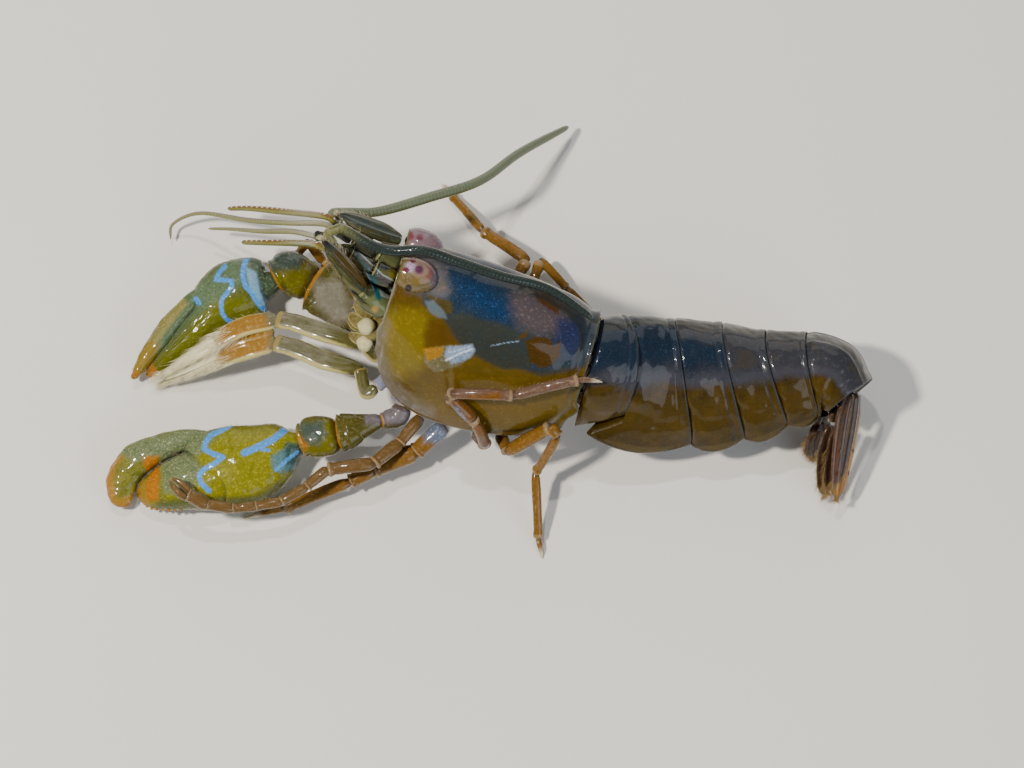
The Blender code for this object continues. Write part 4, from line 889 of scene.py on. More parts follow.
tailFinish = wetFinish(
    # tail plates: thin, wet and dark, navy with fine pale specks above and olive brown below
    "wet tail cuticle, navy above and olive brown below", "302407",
    specks=(
        (1.8, *cloudy, "443208"), (0.5, 0.52, 0.7, 0.6, "1f170a"), (0.14, 0.6, 0.72, 0.5, "63532a"),
    ),
    marks=(
        ("flankLight", "4a3a10", 0.8, 0.5, 1.2, 0.5),
        ("navy", "1c222c", 0.35, 0.6, 0.9, 1.0,
         (1.6, 0.46, 0.62, 0.8, "2a2c33"), (0.4, 0.55, 0.7, 0.6, "0f141c"), (0.13, 0.62, 0.7, 0.6, "48606c")),
        ("navyTop", "13202f", 0.5, 0.4, 0.9, 0.8, (0.14, 0.58, 0.68, 0.5, "2f4a60")),
        ("plum", "303033", 0.5, 0.5, 0.9, 0.85, (0.3, *sparse, "403e46"), (1.2, *fine, "39332a")),
        ("seam", "3c3b42", 0.5, 0.6, 0.5, 0.7),
        ("backLine", "20221a", 0.15, 0.12, 0.5, 0.7),
        ("plateEdge", "4c3f18", 0.1, 0.1, 0.4, 0.6),
        ("rimTwo", "2c323c", 0.05, 0.05, 0.4, 0.4),
        ("rim", "2e343a", 0.06, 0.05, 0.4, 0.7),
    ),
    rough=(0.2, 0.38), bump=0.3, bumpSize=0.2, pits=0.5, pitSize=0.28, coat=0.6,
)
for number in range(1, len(tail["cuts"])):
    ring = gridPart(*tailRing(number))
    newPiece(f"tail_plate_{number}", [ring], tailFinish, (f"tail_ring_{number}",))


swimmerets = {"side": 0.26, "lengthShare": 0.52, "net": (26, 20)}


def leafPart(path, halfWidths, thick, flat, rows, cols, ribs=2, marks=None):
    # A thin leaf: a flat oval carried along a smooth path, with raised ribs on both faces.
    knots = alongLength(path)
    wanted = roundShares(rows, 0.35)
    centres = flow(knots, path, wanted * knots[-1])
    half = flow(knots, np.array(halfWidths), wanted * knots[-1], True) * roundEnds(wanted, 0.03, 0.1)
    depth = thick * (1 - 0.5 * wanted) * roundEnds(wanted, 0.05, 0.06)
    grid, lay = sweep(centres, np.maximum(half, 0.02), np.maximum(depth, 0.01), flat, cols, 2.6)
    across = lay[..., 0] / np.maximum(half, 0.05)[:, None]
    rib = sum((hump(across, place, 0.1) for place in np.linspace(-0.35, 0.35, ribs)), 0 * across)
    relief = thick * (0.35 * rib - 0.3 * hump(across, 0, 0.14)) * roundEnds(wanted, 0.1, 0.25)[:, None]
    grid = grid + outward(grid) * relief[..., None]
    named = {
        "edge": (np.abs(across) - 0.8) * 1.2, "rib": (rib - 0.5) * 0.3,
        "tip": ((wanted - 0.86) * knots[-1])[:, None],
    }
    named.update(marks(grid) if marks else {})
    return gridPart(grid, named, lay), grid


def fringe(grid, fromRow, spacing, length, thick):
    # Hairs along both edges of a leaf and round its tip, fanned out and back.
    rows, cols = grid.shape[:2]
    along, parts = np.repeat(np.arange(fromRow, rows - 1), spacing), []
    for side in (0, cols // 2):
        at = side + chance.integers(-1, 2, len(along))
        parts += growOn(
            grid, along, at, length * chance.uniform(0.7, 1.1, len(along)),
            chance.uniform(0.5, 1.3, len(along)), thick
        )
    tip = rows - 3 + chance.integers(0, 3, cols * 2)
    lengths = length * chance.uniform(0.8, 1.15, cols * 2)
    return parts + growOn(grid, tip, np.arange(cols * 2), lengths, np.full(cols * 2, 3.0), thick)


fanFinish = wetFinish(
    # tail fan: thin blades, dark and glossy, brown where light comes through
    "wet tail fan blade, purple brown", "35291f",
    specks=(
        (1.2, 0.42, 0.66, 0.8, "4a3423"), (0.35, *finer, "22181a"),
        (0.25, 0.54, 0.7, 0.6, "6c4a2a", True),
    ),
    marks=(
        ("rib", "4b3b3a", 0.1, 0.05, 0.4, 0.6),
        ("stripe", "5b2f17", 0.12, 0.1, 0.5, 0.85),
        # edge: dark purple brown along both edges of each blade and over the telson's spines; on the blades this is
        # painted shade of the gaps between the overlapping blades
        ("edge", "43332a", 0.1, 0.1, 0.4, 0.85, (0.25, *dense, "6a4a2c")),
        ("tip", "7c6236", 0.35, 0.25, 0.5, 0.6),
        ("rust", "92600e", 0.2, 0.15, 0.4, 0.9, (0.25, *fine, "b07c20")),
    ),
    rough=(0.14, 0.3), bump=0.35, bumpSize=0.18, stretch=True, coat=0.9, soft=0.12,
    depth=0.05,
)
hairLook = {"rough": (0.3, 0.45), "bump": 0.0, "coat": 0.3, "soft": 0.1}
hairFinish = wetFinish(
    # setae: fine bristles, pale and slightly clear
    "wet pale seta", "c9bf9a", specks=((0.6, 0.45, 0.65, 0.7, "a8946a"), (0.25, 0.5, 0.7, 0.5, "efe9d2")),
    **hairLook,
)
rustHairFinish = wetFinish(
    # fringe of the fan and claws: rust orange bristles that end pale
    "wet rust seta", "805414", specks=((0.7, 0.45, 0.65, 0.8, "5c3c14"), (0.25, *even, "a87828")),
    marks=(("share", "b89c62", 0.2, 0.0, 1.0, 0.5),),
    **hairLook,
)


def swimmeretParts():
    # Under each ring a pair of paddles: a stalk and two leaves that lie back, one over the other.
    leaves, hairs = [], []
    for number in range(1, 6):
        middle = (tail["cuts"][number - 1] + tail["cuts"][number]) / 2
        bodyHere, (_, _, _, half, tall, _, _) = tailFrame(middle)
        depth = tall * (tail["firstDepth"] if number == 1 else 1.0)
        roof, length = -depth * 0.5, depth * swimmerets["lengthShare"]
        for way in (1, -1):
            side = way * half * swimmerets["side"]
            stalk = bodyHere.at(
                np.array([0.2, 0.0, -0.3, -0.5]), side * np.array([1, 1, 1.1, 1.12]),
                roof + np.array([0.9, -0.2, -0.35 * length, -0.5 * length]),
            )
            leaves.append(leafPart(stalk, (0.5, 0.55, 0.6, 0.5), 0.34, bodyHere.left, 18, 18, 0)[0])
            for spread, drop, wide in ((1.0, 1.0, 0.72), (-0.35, 0.92, 0.55)):
                path = bodyHere.at(
                    np.array([-0.25, -0.7, -1.2, -1.5]),
                    side * 1.12 + way * spread * 0.4 * np.array([0, 0.6, 1, 1.1]),
                    roof - length * np.array([0.4, 0.6, 0.85, 1.0]) * drop,
                )
                halves = (0.3, wide, wide * 0.95, 0.3)
                leaf, grid = leafPart(path, halves, 0.16, bodyHere.left, *swimmerets["net"], 1)
                leaves.append(leaf)
                hairs += fringe(grid, 9, 1, 0.55, 0.014)
    return leaves, hairs


paddleFinish = wetFinish(
    # swimmerets: thin clear leaves, lilac grey to brown
    "wet clear paddle, lilac grey", "857a70",
    specks=((0.9, 0.44, 0.64, 0.7, "6d5c48"), (0.3, 0.52, 0.68, 0.5, "a39aa6")),
    marks=(("edge", "9d8354", 0.15, 0.1, 0.4, 0.7), ("rib", "5f5040", 0.1, 0.05, 0.4, 0.6)),
    rough=(0.14, 0.3), bump=0.2, clear=0.15, soft=0.15, coat=0.9,
)
leaves, hairs = swimmeretParts()
newPiece("swimmerets", leaves, paddleFinish)
newPiece("swimmeret_setae", hairs, hairFinish, uvName="OFBake")

fan = {
    "base": (18.0, -0.9, 6.35), "way": (-0.13, -0.88, -0.46), "flat": (0.76, -0.36, 0.52),
    "rightBase": (15.7, -1.2, 4.7), "rightWay": (-0.09, -0.44, -0.89), "rightFlat": (0.41, -0.8, 0.43),
    # each row: distance from the base, side and rise of its middle, half width
    "telson": ((-0.9, 0, 0, 1.2), (0.2, 0, 0, 1.5), (1.2, 0, 0, 1.75), (4.0, 0, 0, 1.6), (6.6, 0, 0, 1.25),
        (7.9, 0, 0, 0.9), (8.4, 0, 0, 0.45)),
    "left": {
        "base": ((0.6, 0.3, -1.2, 0.5), (1.2, 0.2, -1.2, 0.8), (1.9, 0.1, -1.2, 0.75)),
        "inner": ((2.3, 0.1, -0.9, 0.5), (3.4, 0.1, -0.9, 1.05), (5.4, 0.1, -0.9, 1.15),
            (7.2, 0.1, -0.9, 0.8), (8.0, 0.1, -0.9, 0.3)),
        "outer": ((2.3, 0, -1.75, 0.5), (3.4, -0.1, -1.77, 1.1), (5.4, -0.2, -1.77, 1.35),
            (7.4, -0.4, -1.76, 1.1), (8.5, -0.5, -1.7, 0.4)),
    },
    "right": {
        "base": ((0.0, 0, 0, 0.5), (0.6, 0, 0, 0.75), (1.2, 0, 0, 0.7)),
        "inner": ((1.6, 0.5, 0.5, 0.45), (2.5, 0.6, 0.5, 0.85), (3.6, 0.6, 0.5, 0.85), (4.8, 0.5, 0.5, 0.3)),
        "outer": ((1.6, -0.3, -0.5, 0.5), (2.5, -0.4, -0.5, 1.05), (3.8, -0.4, -0.5, 1.1),
            (5.6, -0.2, -0.5, 0.5)),
    },
    "thick": {"telson": 0.42, "base": 0.5, "inner": 0.27, "outer": 0.27},
}


def fanFrame(base, way, flat):
    # A frame whose forward points back to the body, so that a blade runs to minus ahead.
    made = BodyFrame(base, [-part for part in way], 0.0)
    made.dorsal = unit(np.array(flat) - np.dot(flat, made.forward) * made.forward)
    made.left = np.cross(made.dorsal, made.forward)
    return made


fanShapes = {
    "stripe": (((837, 425), (836, 455), (833, 480)), 6.5),
    "rust": (((864, 418), (860, 432), (854, 455), (849, 474), (838, 492)), 7.0),
}


def fanBlade(bladeFrame, outline, thick, ribs, rows=70, cols=56):
    # A leaf laid along the blade's middle line, which runs back from its base.
    back, side, up, half = np.array(outline).T
    path = bladeFrame.at(-back, side, up)
    return leafPart(path, half, thick, bladeFrame.dorsal, rows, cols, ribs,
        lambda grid: photoMarks(grid, fanShapes))


fanHairs = []
leftFan = fanFrame(fan["base"], fan["way"], fan["flat"])
rightFan = fanFrame(fan["rightBase"], fan["rightWay"], fan["rightFlat"])
part, grid = fanBlade(leftFan, fan["telson"], fan["thick"]["telson"], 2, 84, 72)
spines = [
    domePart(leftFan.at(-along, side * width, 0.36), (0.22, 0.06, 0.06), leftFan.ways(), 12, 10, {"edge": 0.4})
    for along, width in ((4.2, 0.95), (6.2, 0.75)) for side in (1, -1)
]
newPiece("telson_blade", [part, *spines], fanFinish, ("telson",))
fanHairs += fringe(grid, 66, 2, 0.75, 0.017)
for side, place in (("left", leftFan), ("right", rightFan)):
    for piece, outline in fan[side].items():
        ribs = {"base": 0, "inner": 2, "outer": 3}[piece]
        part, grid = fanBlade(place, outline, fan["thick"][piece], ribs)
        newPiece(f"uropod_{piece}_blade_{side}", [part], fanFinish, (f"uropod_{piece}_{side}",))
        if piece != "base":
            fanHairs += fringe(grid, 24, 2, 0.8, 0.018)
newPiece("fan_fringe", fanHairs, rustHairFinish, uvName="OFBake")
print("tail and fan made")

# Where each limb leaves the chest: ahead of the rear rim, boss radius, lean ahead.
chest = {
    "pairs": {
        "leg_5": (4.6, 0.75, 0.2), "leg_4": (6.6, 0.8, 0.2), "leg_3": (9.6, 0.85, 0.2),
        "leg_2": (11.8, 0.75, 0.2), "claw": (13.6, 0.95, 0.2), "maxilliped": (15.3, 0.62, 2.0),
    },
    "reach": {"left": (0.3, 0.78, 1.5), "right": (-0.22, -0.55, 0.8)},
    "gap": 0.3, "stub": 0.7, "wall": 0.9,
}


def coxaEnd(pair, side):
    # The start and end of a boss of the chest and the way it points, by straight lines
    # between the shell's stations.
    ahead, _, lean = chest["pairs"][pair]
    stations = np.array(carapace["stations"])
    half, _, bottom = [np.interp(ahead, stations[:, 0], stations[:, column]) for column in (1, 2, 3)]
    inner = carapace["edge"] * half - chest["wall"]
    near, far, below = chest["reach"][side]
    root = body.at(ahead - lean / 2, near * inner, bottom + 0.9)
    end = body.at(ahead + lean / 2, far * inner, bottom - below)
    return root, end, unit(end - root)


def limbStart(pair, side):
    # The way out of a boss, and the two points on it where the limb begins.
    _, end, way = coxaEnd(pair, side)
    return way, [end + way * chest["gap"], end + way * (chest["gap"] + chest["stub"])]


upright = (0.0, 0.0, 1.0)
claws = {
    "left": {
        "path": (
            (-22.0, -1.7, 4.4), (-22.7, -1.9, 4.5), (-24.2, -2.4, 4.6), (-25.9, -3.0, 4.6),
            (-26.4, -3.1, 4.5), (-27.2, -3.2, 4.2), (-28.5, -3.2, 3.9), (-29.5, -3.4, 3.5),
            (-30.1, -3.6, 3.2), (-31.4, -4.0, 2.7), (-33.2, -4.8, 2.5), (-35.2, -5.5, 2.4),
            (-37.0, -5.8, 2.4), (-37.6, -6.3, 2.3), (-39.6, -6.8, 2.2), (-41.4, -7.2, 1.9),
            (-43.0, -7.5, 1.5), (-43.8, -7.6, 1.3),
        ),
        "halves": (
            (0.85, 0.8), (0.55, 0.6), (1.1, 0.9), (1.75, 1.15), (1.2, 0.9), (1.75, 1.45), (1.85, 1.6),
            (1.3, 1.2), (1.6, 1.4), (2.5, 1.9), (3.3, 2.25), (3.75, 2.5), (3.55, 2.45), (2.95, 2.2),
            (2.4, 1.9), (2.0, 1.5), (1.25, 1.0), (0.4, 0.4),
        ),
        "finger": (
            (-37.6, -2.8, 3.0), (-40.0, -3.2, 3.0), (-42.0, -3.8, 2.6), (-44.0, -4.8, 2.1),
            (-45.1, -6.3, 1.7), (-45.1, -7.7, 1.4), (-44.6, -8.6, 1.2),
        ),
        "fingerHalves": (
            (0.6, 0.8), (0.95, 1.1), (1.25, 1.1), (1.45, 1.05), (1.4, 0.9), (1.15, 0.7), (0.4, 0.35),
        ),
    },
    "right": {
        "path": (
            (-22.0, 5.7, 2.2), (-23.6, 7.2, 2.5), (-25.2, 8.6, 2.9), (-28.2, 10.9, 3.3), (-28.9, 11.3, 3.3),
            (-29.7, 11.8, 3.2), (-31.0, 12.4, 3.2), (-32.1, 12.0, 2.9), (-32.8, 11.5, 2.7),
            (-33.6, 11.4, 2.6), (-34.5, 11.0, 2.5), (-35.7, 10.4, 2.4), (-36.7, 9.6, 2.4), (-37.6, 8.3, 2.2),
            (-39.1, 7.0, 2.0), (-40.6, 5.7, 1.7), (-42.0, 4.5, 1.3), (-43.3, 3.5, 1.0),
        ),
        "halves": (
            (0.95, 0.85), (1.2, 0.9), (1.7, 1.0), (2.45, 1.15), (1.6, 0.95), (1.8, 1.4), (1.95, 1.6),
            (1.4, 1.3), (1.8, 1.5), (2.6, 1.9), (3.05, 2.3), (3.1, 2.55), (2.85, 2.5), (1.9, 2.2),
            (1.35, 1.7), (1.05, 1.25), (0.7, 0.85), (0.3, 0.3),
        ),
        "finger": (
            (-38.2, 10.8, 2.9), (-39.8, 9.2, 2.8), (-41.4, 7.4, 2.5), (-42.9, 5.4, 2.1), (-43.9, 3.9, 1.7),
            (-44.5, 3.1, 1.4),
        ),
        "fingerHalves": ((0.7, 0.8), (0.85, 1.0), (0.9, 0.95), (0.75, 0.8), (0.5, 0.6), (0.25, 0.25)),
    },
    "cuts": (3, 6, 9), "power": 2.2,
}
# Markings of the claws' upper faces in the photograph's pixels: lines with their width, then outlines.
clawLines = {
    "left": {
        "azure": (((232, 424), (222, 430), (211, 435), (206, 441), (204, 449), (213, 454), (223, 457),
            (214, 464), (203, 470), (199, 476), (201, 483), (209, 491)), 5.0),
        "azureTwo": (((289, 426), (280, 434), (272, 440), (258, 447), (244, 453)), 6.5),
        "azureThree": (((258, 447), (263, 450), (269, 450)), 3.0),
        "azureFour": (((297, 452), (287, 460), (276, 470)), 3.5),
    },
    "right": {
        "azure": (((248, 256), (245, 262), (243, 270), (243, 278), (246, 287), (252, 293), (256, 300),
            (261, 307), (270, 312)), 5.0),
        "azureTwo": (((225, 266), (219, 273), (216, 280), (223, 280), (232, 281), (232, 286), (227, 293),
            (222, 299), (221, 306), (222, 313), (227, 320), (237, 324)), 4.2),
        "azureThree": (((196, 299), (199, 303)), 5.0),
    },
}
clawAreas = {
    "left": {
        "olive": ((205, 430), (292, 430), (300, 452), (286, 480), (250, 498), (200, 508), (165, 500),
            (160, 462), (180, 440)),
        "greyBand": ((225, 424), (180, 429), (140, 440), (118, 452), (132, 462), (160, 456), (164, 492),
            (186, 498), (202, 470), (196, 458), (215, 440)),
        "teal": ((284, 442), (304, 444), (304, 462), (286, 464)),
        "powder": ((272, 456), (286, 448), (300, 450), (298, 468), (282, 474), (272, 468)),
        "orange": ((144, 456), (158, 456), (159, 470), (158, 500), (146, 502), (146, 484), (150, 474),
            (144, 466)),
        "outerArc": ((100, 452), (122, 456), (114, 470), (112, 484), (116, 498), (124, 508), (100, 508)),
        "lower": ((160, 500), (262, 496), (300, 470), (310, 470), (290, 500), (200, 520), (150, 516)),
    },
    "right": {
        "olive": ((214, 300), (245, 296), (262, 318), (240, 332), (205, 346), (170, 368), (150, 380),
            (160, 360), (190, 330)),
        "greyBand": ((268, 254), (232, 258), (200, 282), (164, 322), (142, 356), (160, 352), (188, 322),
            (216, 300), (240, 286), (262, 270)),
        "teal": ((250, 258), (272, 254), (280, 284), (272, 312), (258, 300), (250, 284)),
        "powder": ((246, 268), (256, 272), (262, 292), (272, 308), (262, 310), (250, 292)),
        "orange": ((128, 366), (148, 340), (160, 344), (150, 372), (134, 384)),
        "outerArc": ((182, 296), (164, 318), (145, 345), (130, 376), (136, 380), (152, 350), (170, 326),
            (188, 304)),
        "lower": ((200, 348), (250, 326), (274, 314), (272, 300), (262, 318), (235, 332), (150, 380),
            (150, 386)),
    },
}


def upperMarks(grid, shapes, fade):
    # Marks of the faces that the camera sees: less up to fade mm where the skin turns away.
    turned = ease(-(outward(grid) @ toCamera), -0.25, 0.05) * fade
    return {name: value - turned for name, value in photoMarks(grid, shapes).items()}


def clawMarks(side, tipFrom):
    # The upper marks, and a tip that begins past a share of the length.
    def marks(grid):
        tip = ease(np.linspace(0, 1, len(grid)), tipFrom, 1.0)[:, None] * 1.2 - 0.5
        return {"tip": tip, **upperMarks(grid, {**clawLines[side], **clawAreas[side]}, 2.5)}
    return marks


def claw(side):
    # The middle line and half sizes of the whole claw leg, from the boss to the fixed finger.
    shape = claws[side]
    way, start = limbStart("claw", side)
    path = np.vstack([start, shape["path"]])
    halves = np.vstack([(0.8, 0.8), (0.9, 0.9), shape["halves"]])
    return way, path, halves


def articlePart(
    path, halves, flat, rows, cols, power=2.0, neck=0.72, cuff=0.07, tuck=0.35, start=None, relief=None,
    marks=None,
):
    # One length of a limb: ovals along a smooth path, narrow at the neck where it enters the
    # length before, a raised cuff at its far end, and both ends rounded shut.
    path, halves = np.asarray(path, float), np.asarray(halves, float)
    knots = alongLength(path)
    total = knots[-1]
    wanted = roundShares(rows, 0.5)
    centres = flow(knots, path, wanted * total)
    size = flow(knots, halves, wanted * total, True)
    first = unit(path[1] - path[0]) if start is None else unit(start)
    centres[:, :] -= first * (tuck * (1 - ease(wanted, 0, 0.35)))[:, None]
    shape = neck + (1 - neck) * ease(wanted, 0.01, 0.14)
    shape = shape + cuff * (hump(wanted, 0.93, 0.035) - 0.7 * hump(wanted, 0.84, 0.04))
    shape = shape * roundEnds(wanted, 0.04, 0.035)
    grid, lay = sweep(centres, size[:, 0] * shape + 0.004, size[:, 1] * shape + 0.004, flat, cols, power)
    if relief is not None:
        grid = grid + outward(grid) * relief(grid, lay, wanted)[..., None]
    named = {"cuff": (0.03 - np.abs(wanted - 0.955))[:, None] * total, "neck": (0.09 - wanted)[:, None] * total}
    named.update(marks(grid) if marks else {})
    return gridPart(grid, named, lay), grid


def shellRelief(seed, big, small):
    # Broad and fine unevenness, so many mm high.
    def relief(grid, lay, share):
        return big * ripple(grid, 2.6, seed) + small * ripple(grid, 0.7, seed + 1)
    return relief


def palmRelief(side):
    # Swelling over the palm, a groove down each face towards the fixed finger, and scattered
    # low grains.
    def relief(grid, lay, share):
        part = share[:, None]
        across = lay[..., 0] / np.maximum(np.abs(lay[..., 0]).max(1, keepdims=True), 0.1)
        groove = hump((across - (0.15 if side == "left" else -0.1)), 0, 0.12) * ease(part, 0.45, 0.62)
        ridge = hump(np.abs(across), 0.86, 0.1) * ease(part, 0.15, 0.3)
        ridge = ridge * (1 - ease(part, 0.8, 0.95))
        grain = np.clip(ripple(grid, 0.42, 71) + 0.2 * ripple(grid, 0.25, 72), 0, 2)
        notch = hump(part, 0.5, 0.05) * ease(across, 0.3, 0.9)
        return 0.07 * ripple(grid, 3.0, 70) - 0.1 * groove + 0.06 * ridge + 0.035 * grain - 0.12 * notch
    return relief


clawLook = {
    "rough": (0.26, 0.46), "bump": 0.45, "bumpSize": 0.16, "pits": 0.8, "pitSize": 0.26, "coat": 0.65,
    "depth": 0.07,
}
azureMarks = tuple(
    (name, "3f86cc", 0.09, 0.07, 0.22, 0.97, (0.22, *sparse, "7fb8e2"), (0.1, 0.54, 0.7, 0.6, "1f5ca8"))
    for name in ("azure", "azureTwo", "azureThree", "azureFour")
)
clawFinish = {
    "left": wetFinish(
        # the larger claw: wet grainy shell, olive with azure lines and rusty finger tips
        "wet claw shell, olive with azure lines", "60601e",
        specks=((1.3, *cloudy, "706d20"), (0.28, *dense, "4a4e18"), (0.12, 0.58, 0.7, 0.6, "97923c")),
        marks=(
            ("olive", "716e10", 0.6, 0.4, 0.9, 0.9, (0.2, 0.5, 0.64, 0.7, "93901f"),
                (0.5, 0.52, 0.7, 0.6, "525914")),
            ("greyBand", "5c6848", 0.35, 0.3, 0.8, 0.9, (0.16, 0.52, 0.66, 0.7, "9a9f7c"),
                (0.4, *fine, "43543a")),
            ("lower", "414a26", 0.4, 0.3, 0.8, 0.85, (0.2, *sparse, "6f7048")),
            ("powder", "44707c", 0.3, 0.25, 0.4, 0.85, (0.25, *dense, "2c505c")),
            ("teal", "28413c", 0.25, 0.25, 0.5, 0.9, (0.2, 0.52, 0.7, 0.6, "5d8076")),
            ("orange", "9c5c04", 0.25, 0.25, 0.4, 0.9, (0.25, *fine, "b87c20")),
            ("outerArc", "96682a", 0.4, 0.3, 0.5, 0.9, (0.3, *fine, "b08850")),
            *azureMarks,
            ("tip", "8c5010", 0.5, 0.3, 0.5, 0.85),
            ("cuff", "8d6a1e", 0.06, 0.05, 0.4, 0.7),
        ),
        **clawLook,
    ),
    "right": wetFinish(
        "wet claw shell, grey green with azure lines", "4c5320",
        specks=((1.3, *cloudy, "5f5f1a"), (0.28, *dense, "3a4424"), (0.12, 0.58, 0.7, 0.6, "7f8850")),
        marks=(
            ("olive", "575a04", 0.5, 0.4, 0.9, 0.9, (0.2, 0.5, 0.64, 0.6, "6d6d12"),
                (0.4, 0.52, 0.68, 0.5, "434c0c")),
            ("greyBand", "50644a", 0.5, 0.35, 0.9, 0.9, (0.16, 0.52, 0.66, 0.6, "7c8a6a"),
                (0.4, *even, "3c5044")),
            ("lower", "3c4e36", 0.4, 0.3, 0.8, 0.85, (0.2, *sparse, "64745e"), (0.5, *fine, "2c3c30")),
            ("teal", "39493a", 0.3, 0.3, 0.5, 0.85, (0.25, 0.52, 0.7, 0.6, "6f8a74")),
            ("powder", "7fa9c4", 0.18, 0.2, 0.35, 0.8, (0.2, *fine, "4c7fa8")),
            ("outerArc", "7e7438", 0.2, 0.25, 0.4, 0.7, (0.2, *fine, "9c8c50")),
            ("orange", "7c6414", 0.5, 0.3, 0.5, 0.85),
            *azureMarks[:3],
            ("tip", "745810", 0.5, 0.3, 0.5, 0.85),
            ("cuff", "9a5f18", 0.06, 0.05, 0.4, 0.75),
        ),
        **clawLook,
    ),
}
clawLegFinish = wetFinish(
    # ischium, merus and carpus: smoother, half clear shell, olive over grey lilac
    "wet claw leg shell, olive and lilac grey", "4a4516",
    specks=((1.4, *cloudy, "3c370e"), (0.3, *finer, "66623a"), (0.12, 0.58, 0.7, 0.5, "84826a")),
    marks=(
        ("lilac", "645e66", 0.4, 0.3, 0.8, 0.85, (0.4, *finer, "7e7a88")),
        ("beige", "7a776a", 0.6, 0.4, 1.0, 0.85, (0.35, 0.5, 0.68, 0.5, "928f80")),
        ("olive", "5c590a", 0.4, 0.3, 0.8, 0.85, (0.3, *fine, "737014")),
        ("dome", "37443f", 0.45, 0.35, 0.8, 0.9, (0.3, *finer, "52605a")),
        ("amber", "9a5f10", 0.22, 0.2, 0.4, 0.9, (0.25, *fine, "c08a3c")),
        ("cuff", "9c6a1c", 0.07, 0.06, 0.4, 0.85), ("neck", "4a3a18", 0.2, 0.1, 0.5, 0.7),
    ),
    rough=(0.2, 0.36), bump=0.35, bumpSize=0.2, pits=0.4, pitSize=0.3, coat=0.8, soft=0.1,
)
legAreas = {
    "left": {
        "lilac": ((360, 390), (412, 390), (412, 424), (366, 424)),
        "dome": ((298, 422), (322, 421), (327, 434), (318, 446), (303, 444)),
        "olive": ((292, 418), (334, 418), (334, 454), (300, 456)),
        "amber": ((290, 430), (294, 429), (309, 447), (306, 451)),
    },
    "right": {
        "lilac": ((352, 300), (400, 300), (400, 340), (352, 340)),
        "beige": ((312, 280), (342, 282), (352, 318), (338, 326), (316, 306)),
        "dome": ((262, 254), (306, 250), (300, 268), (270, 272)),
        "olive": ((266, 270), (306, 264), (308, 294), (272, 298)),
        "amber": ((334, 262), (344, 266), (366, 302), (362, 312), (348, 286)),
    },
}


def toothRow(grid, rows, col, size):
    # Low blunt teeth along a finger's cutting edge: eggs of three sizes in turn.
    normal, parts = outward(grid), []
    for index, row in enumerate(rows):
        up = normal[row, col]
        across = np.cross(up, (0.3, 0.2, 0.9))
        big = size * (0.8 + 0.2 * (index % 3))
        axes = (up, unit(across), unit(np.cross(up, across)))
        parts.append(domePart(grid[row, col], (big * 1.3, big, big), axes, 10, 12, {"orange": 0.4}))
    return parts


clawHairs = []
for side in ("left", "right"):
    shape = claws[side]
    way, path, halves = claw(side)
    borders = (0, *claws["cuts"], len(path) - 1)
    for piece, low, high in zip(("base", "merus", "carpus"), borders, borders[1:]):
        part, grid = articlePart(
            path[low : high + 1], halves[low : high + 1], upright, 72, 84, claws["power"],
            neck=0.62 if piece == "carpus" else 0.72, cuff=0.09, relief=shellRelief(80, 0.05, 0.018),
            start=way if piece == "base" else None, marks=lambda grid: upperMarks(grid, legAreas[side], 2.0),
        )
        newPiece(f"claw_{piece}_shell_{side}", [part], clawLegFinish, (f"claw_{piece}_{side}",))
        count = {"base": 10, "merus": 36, "carpus": 30}[piece]
        clawHairs += scatter(grid, count, (14, 66), (0, 84), (0.4, 1.1), (0.3, 1.2), 0.014)
    first = borders[3]
    part, palm = articlePart(
        path[first:], halves[first:], upright, 210, 190, claws["power"], neck=0.6, cuff=0.0, tuck=0.3,
        relief=palmRelief(side), marks=clawMarks(side, 0.9),
    )
    teeth = toothRow(palm, range(150, 196, 7), 0 if side == "left" else 95, 0.13)
    newPiece(f"claw_palm_shell_{side}", [part, *teeth], clawFinish[side], (f"claw_palm_{side}",))
    part, finger = articlePart(
        shape["finger"], shape["fingerHalves"], upright, 130, 96, 2.2, neck=0.85, cuff=0.0, tuck=0.25,
        relief=shellRelief(90, 0.05, 0.03), marks=clawMarks(side, 0.86),
    )
    newPiece(f"claw_finger_shell_{side}", [part], clawFinish[side], (f"claw_finger_{side}",))
    # setae: a fringe under the palm, short bristles over the fingers, longer ones at their tips
    below = 95 if side == "left" else 0
    clawHairs += scatter(palm, 150, (40, 200), (below - 16, below + 17), (0.35, 0.8), (0.2, 1.4), 0.014)
    clawHairs += scatter(palm, 160, (120, 206), (0, 190), (0.2, 0.5), (0.6, 1.8), 0.012)
    clawHairs += scatter(finger, 170, (30, 128), (0, 96), (0.2, 0.55), (0.4, 1.6), 0.012)
newPiece("claw_setae", clawHairs, hairFinish, uvName="OFBake")
print("claws made")

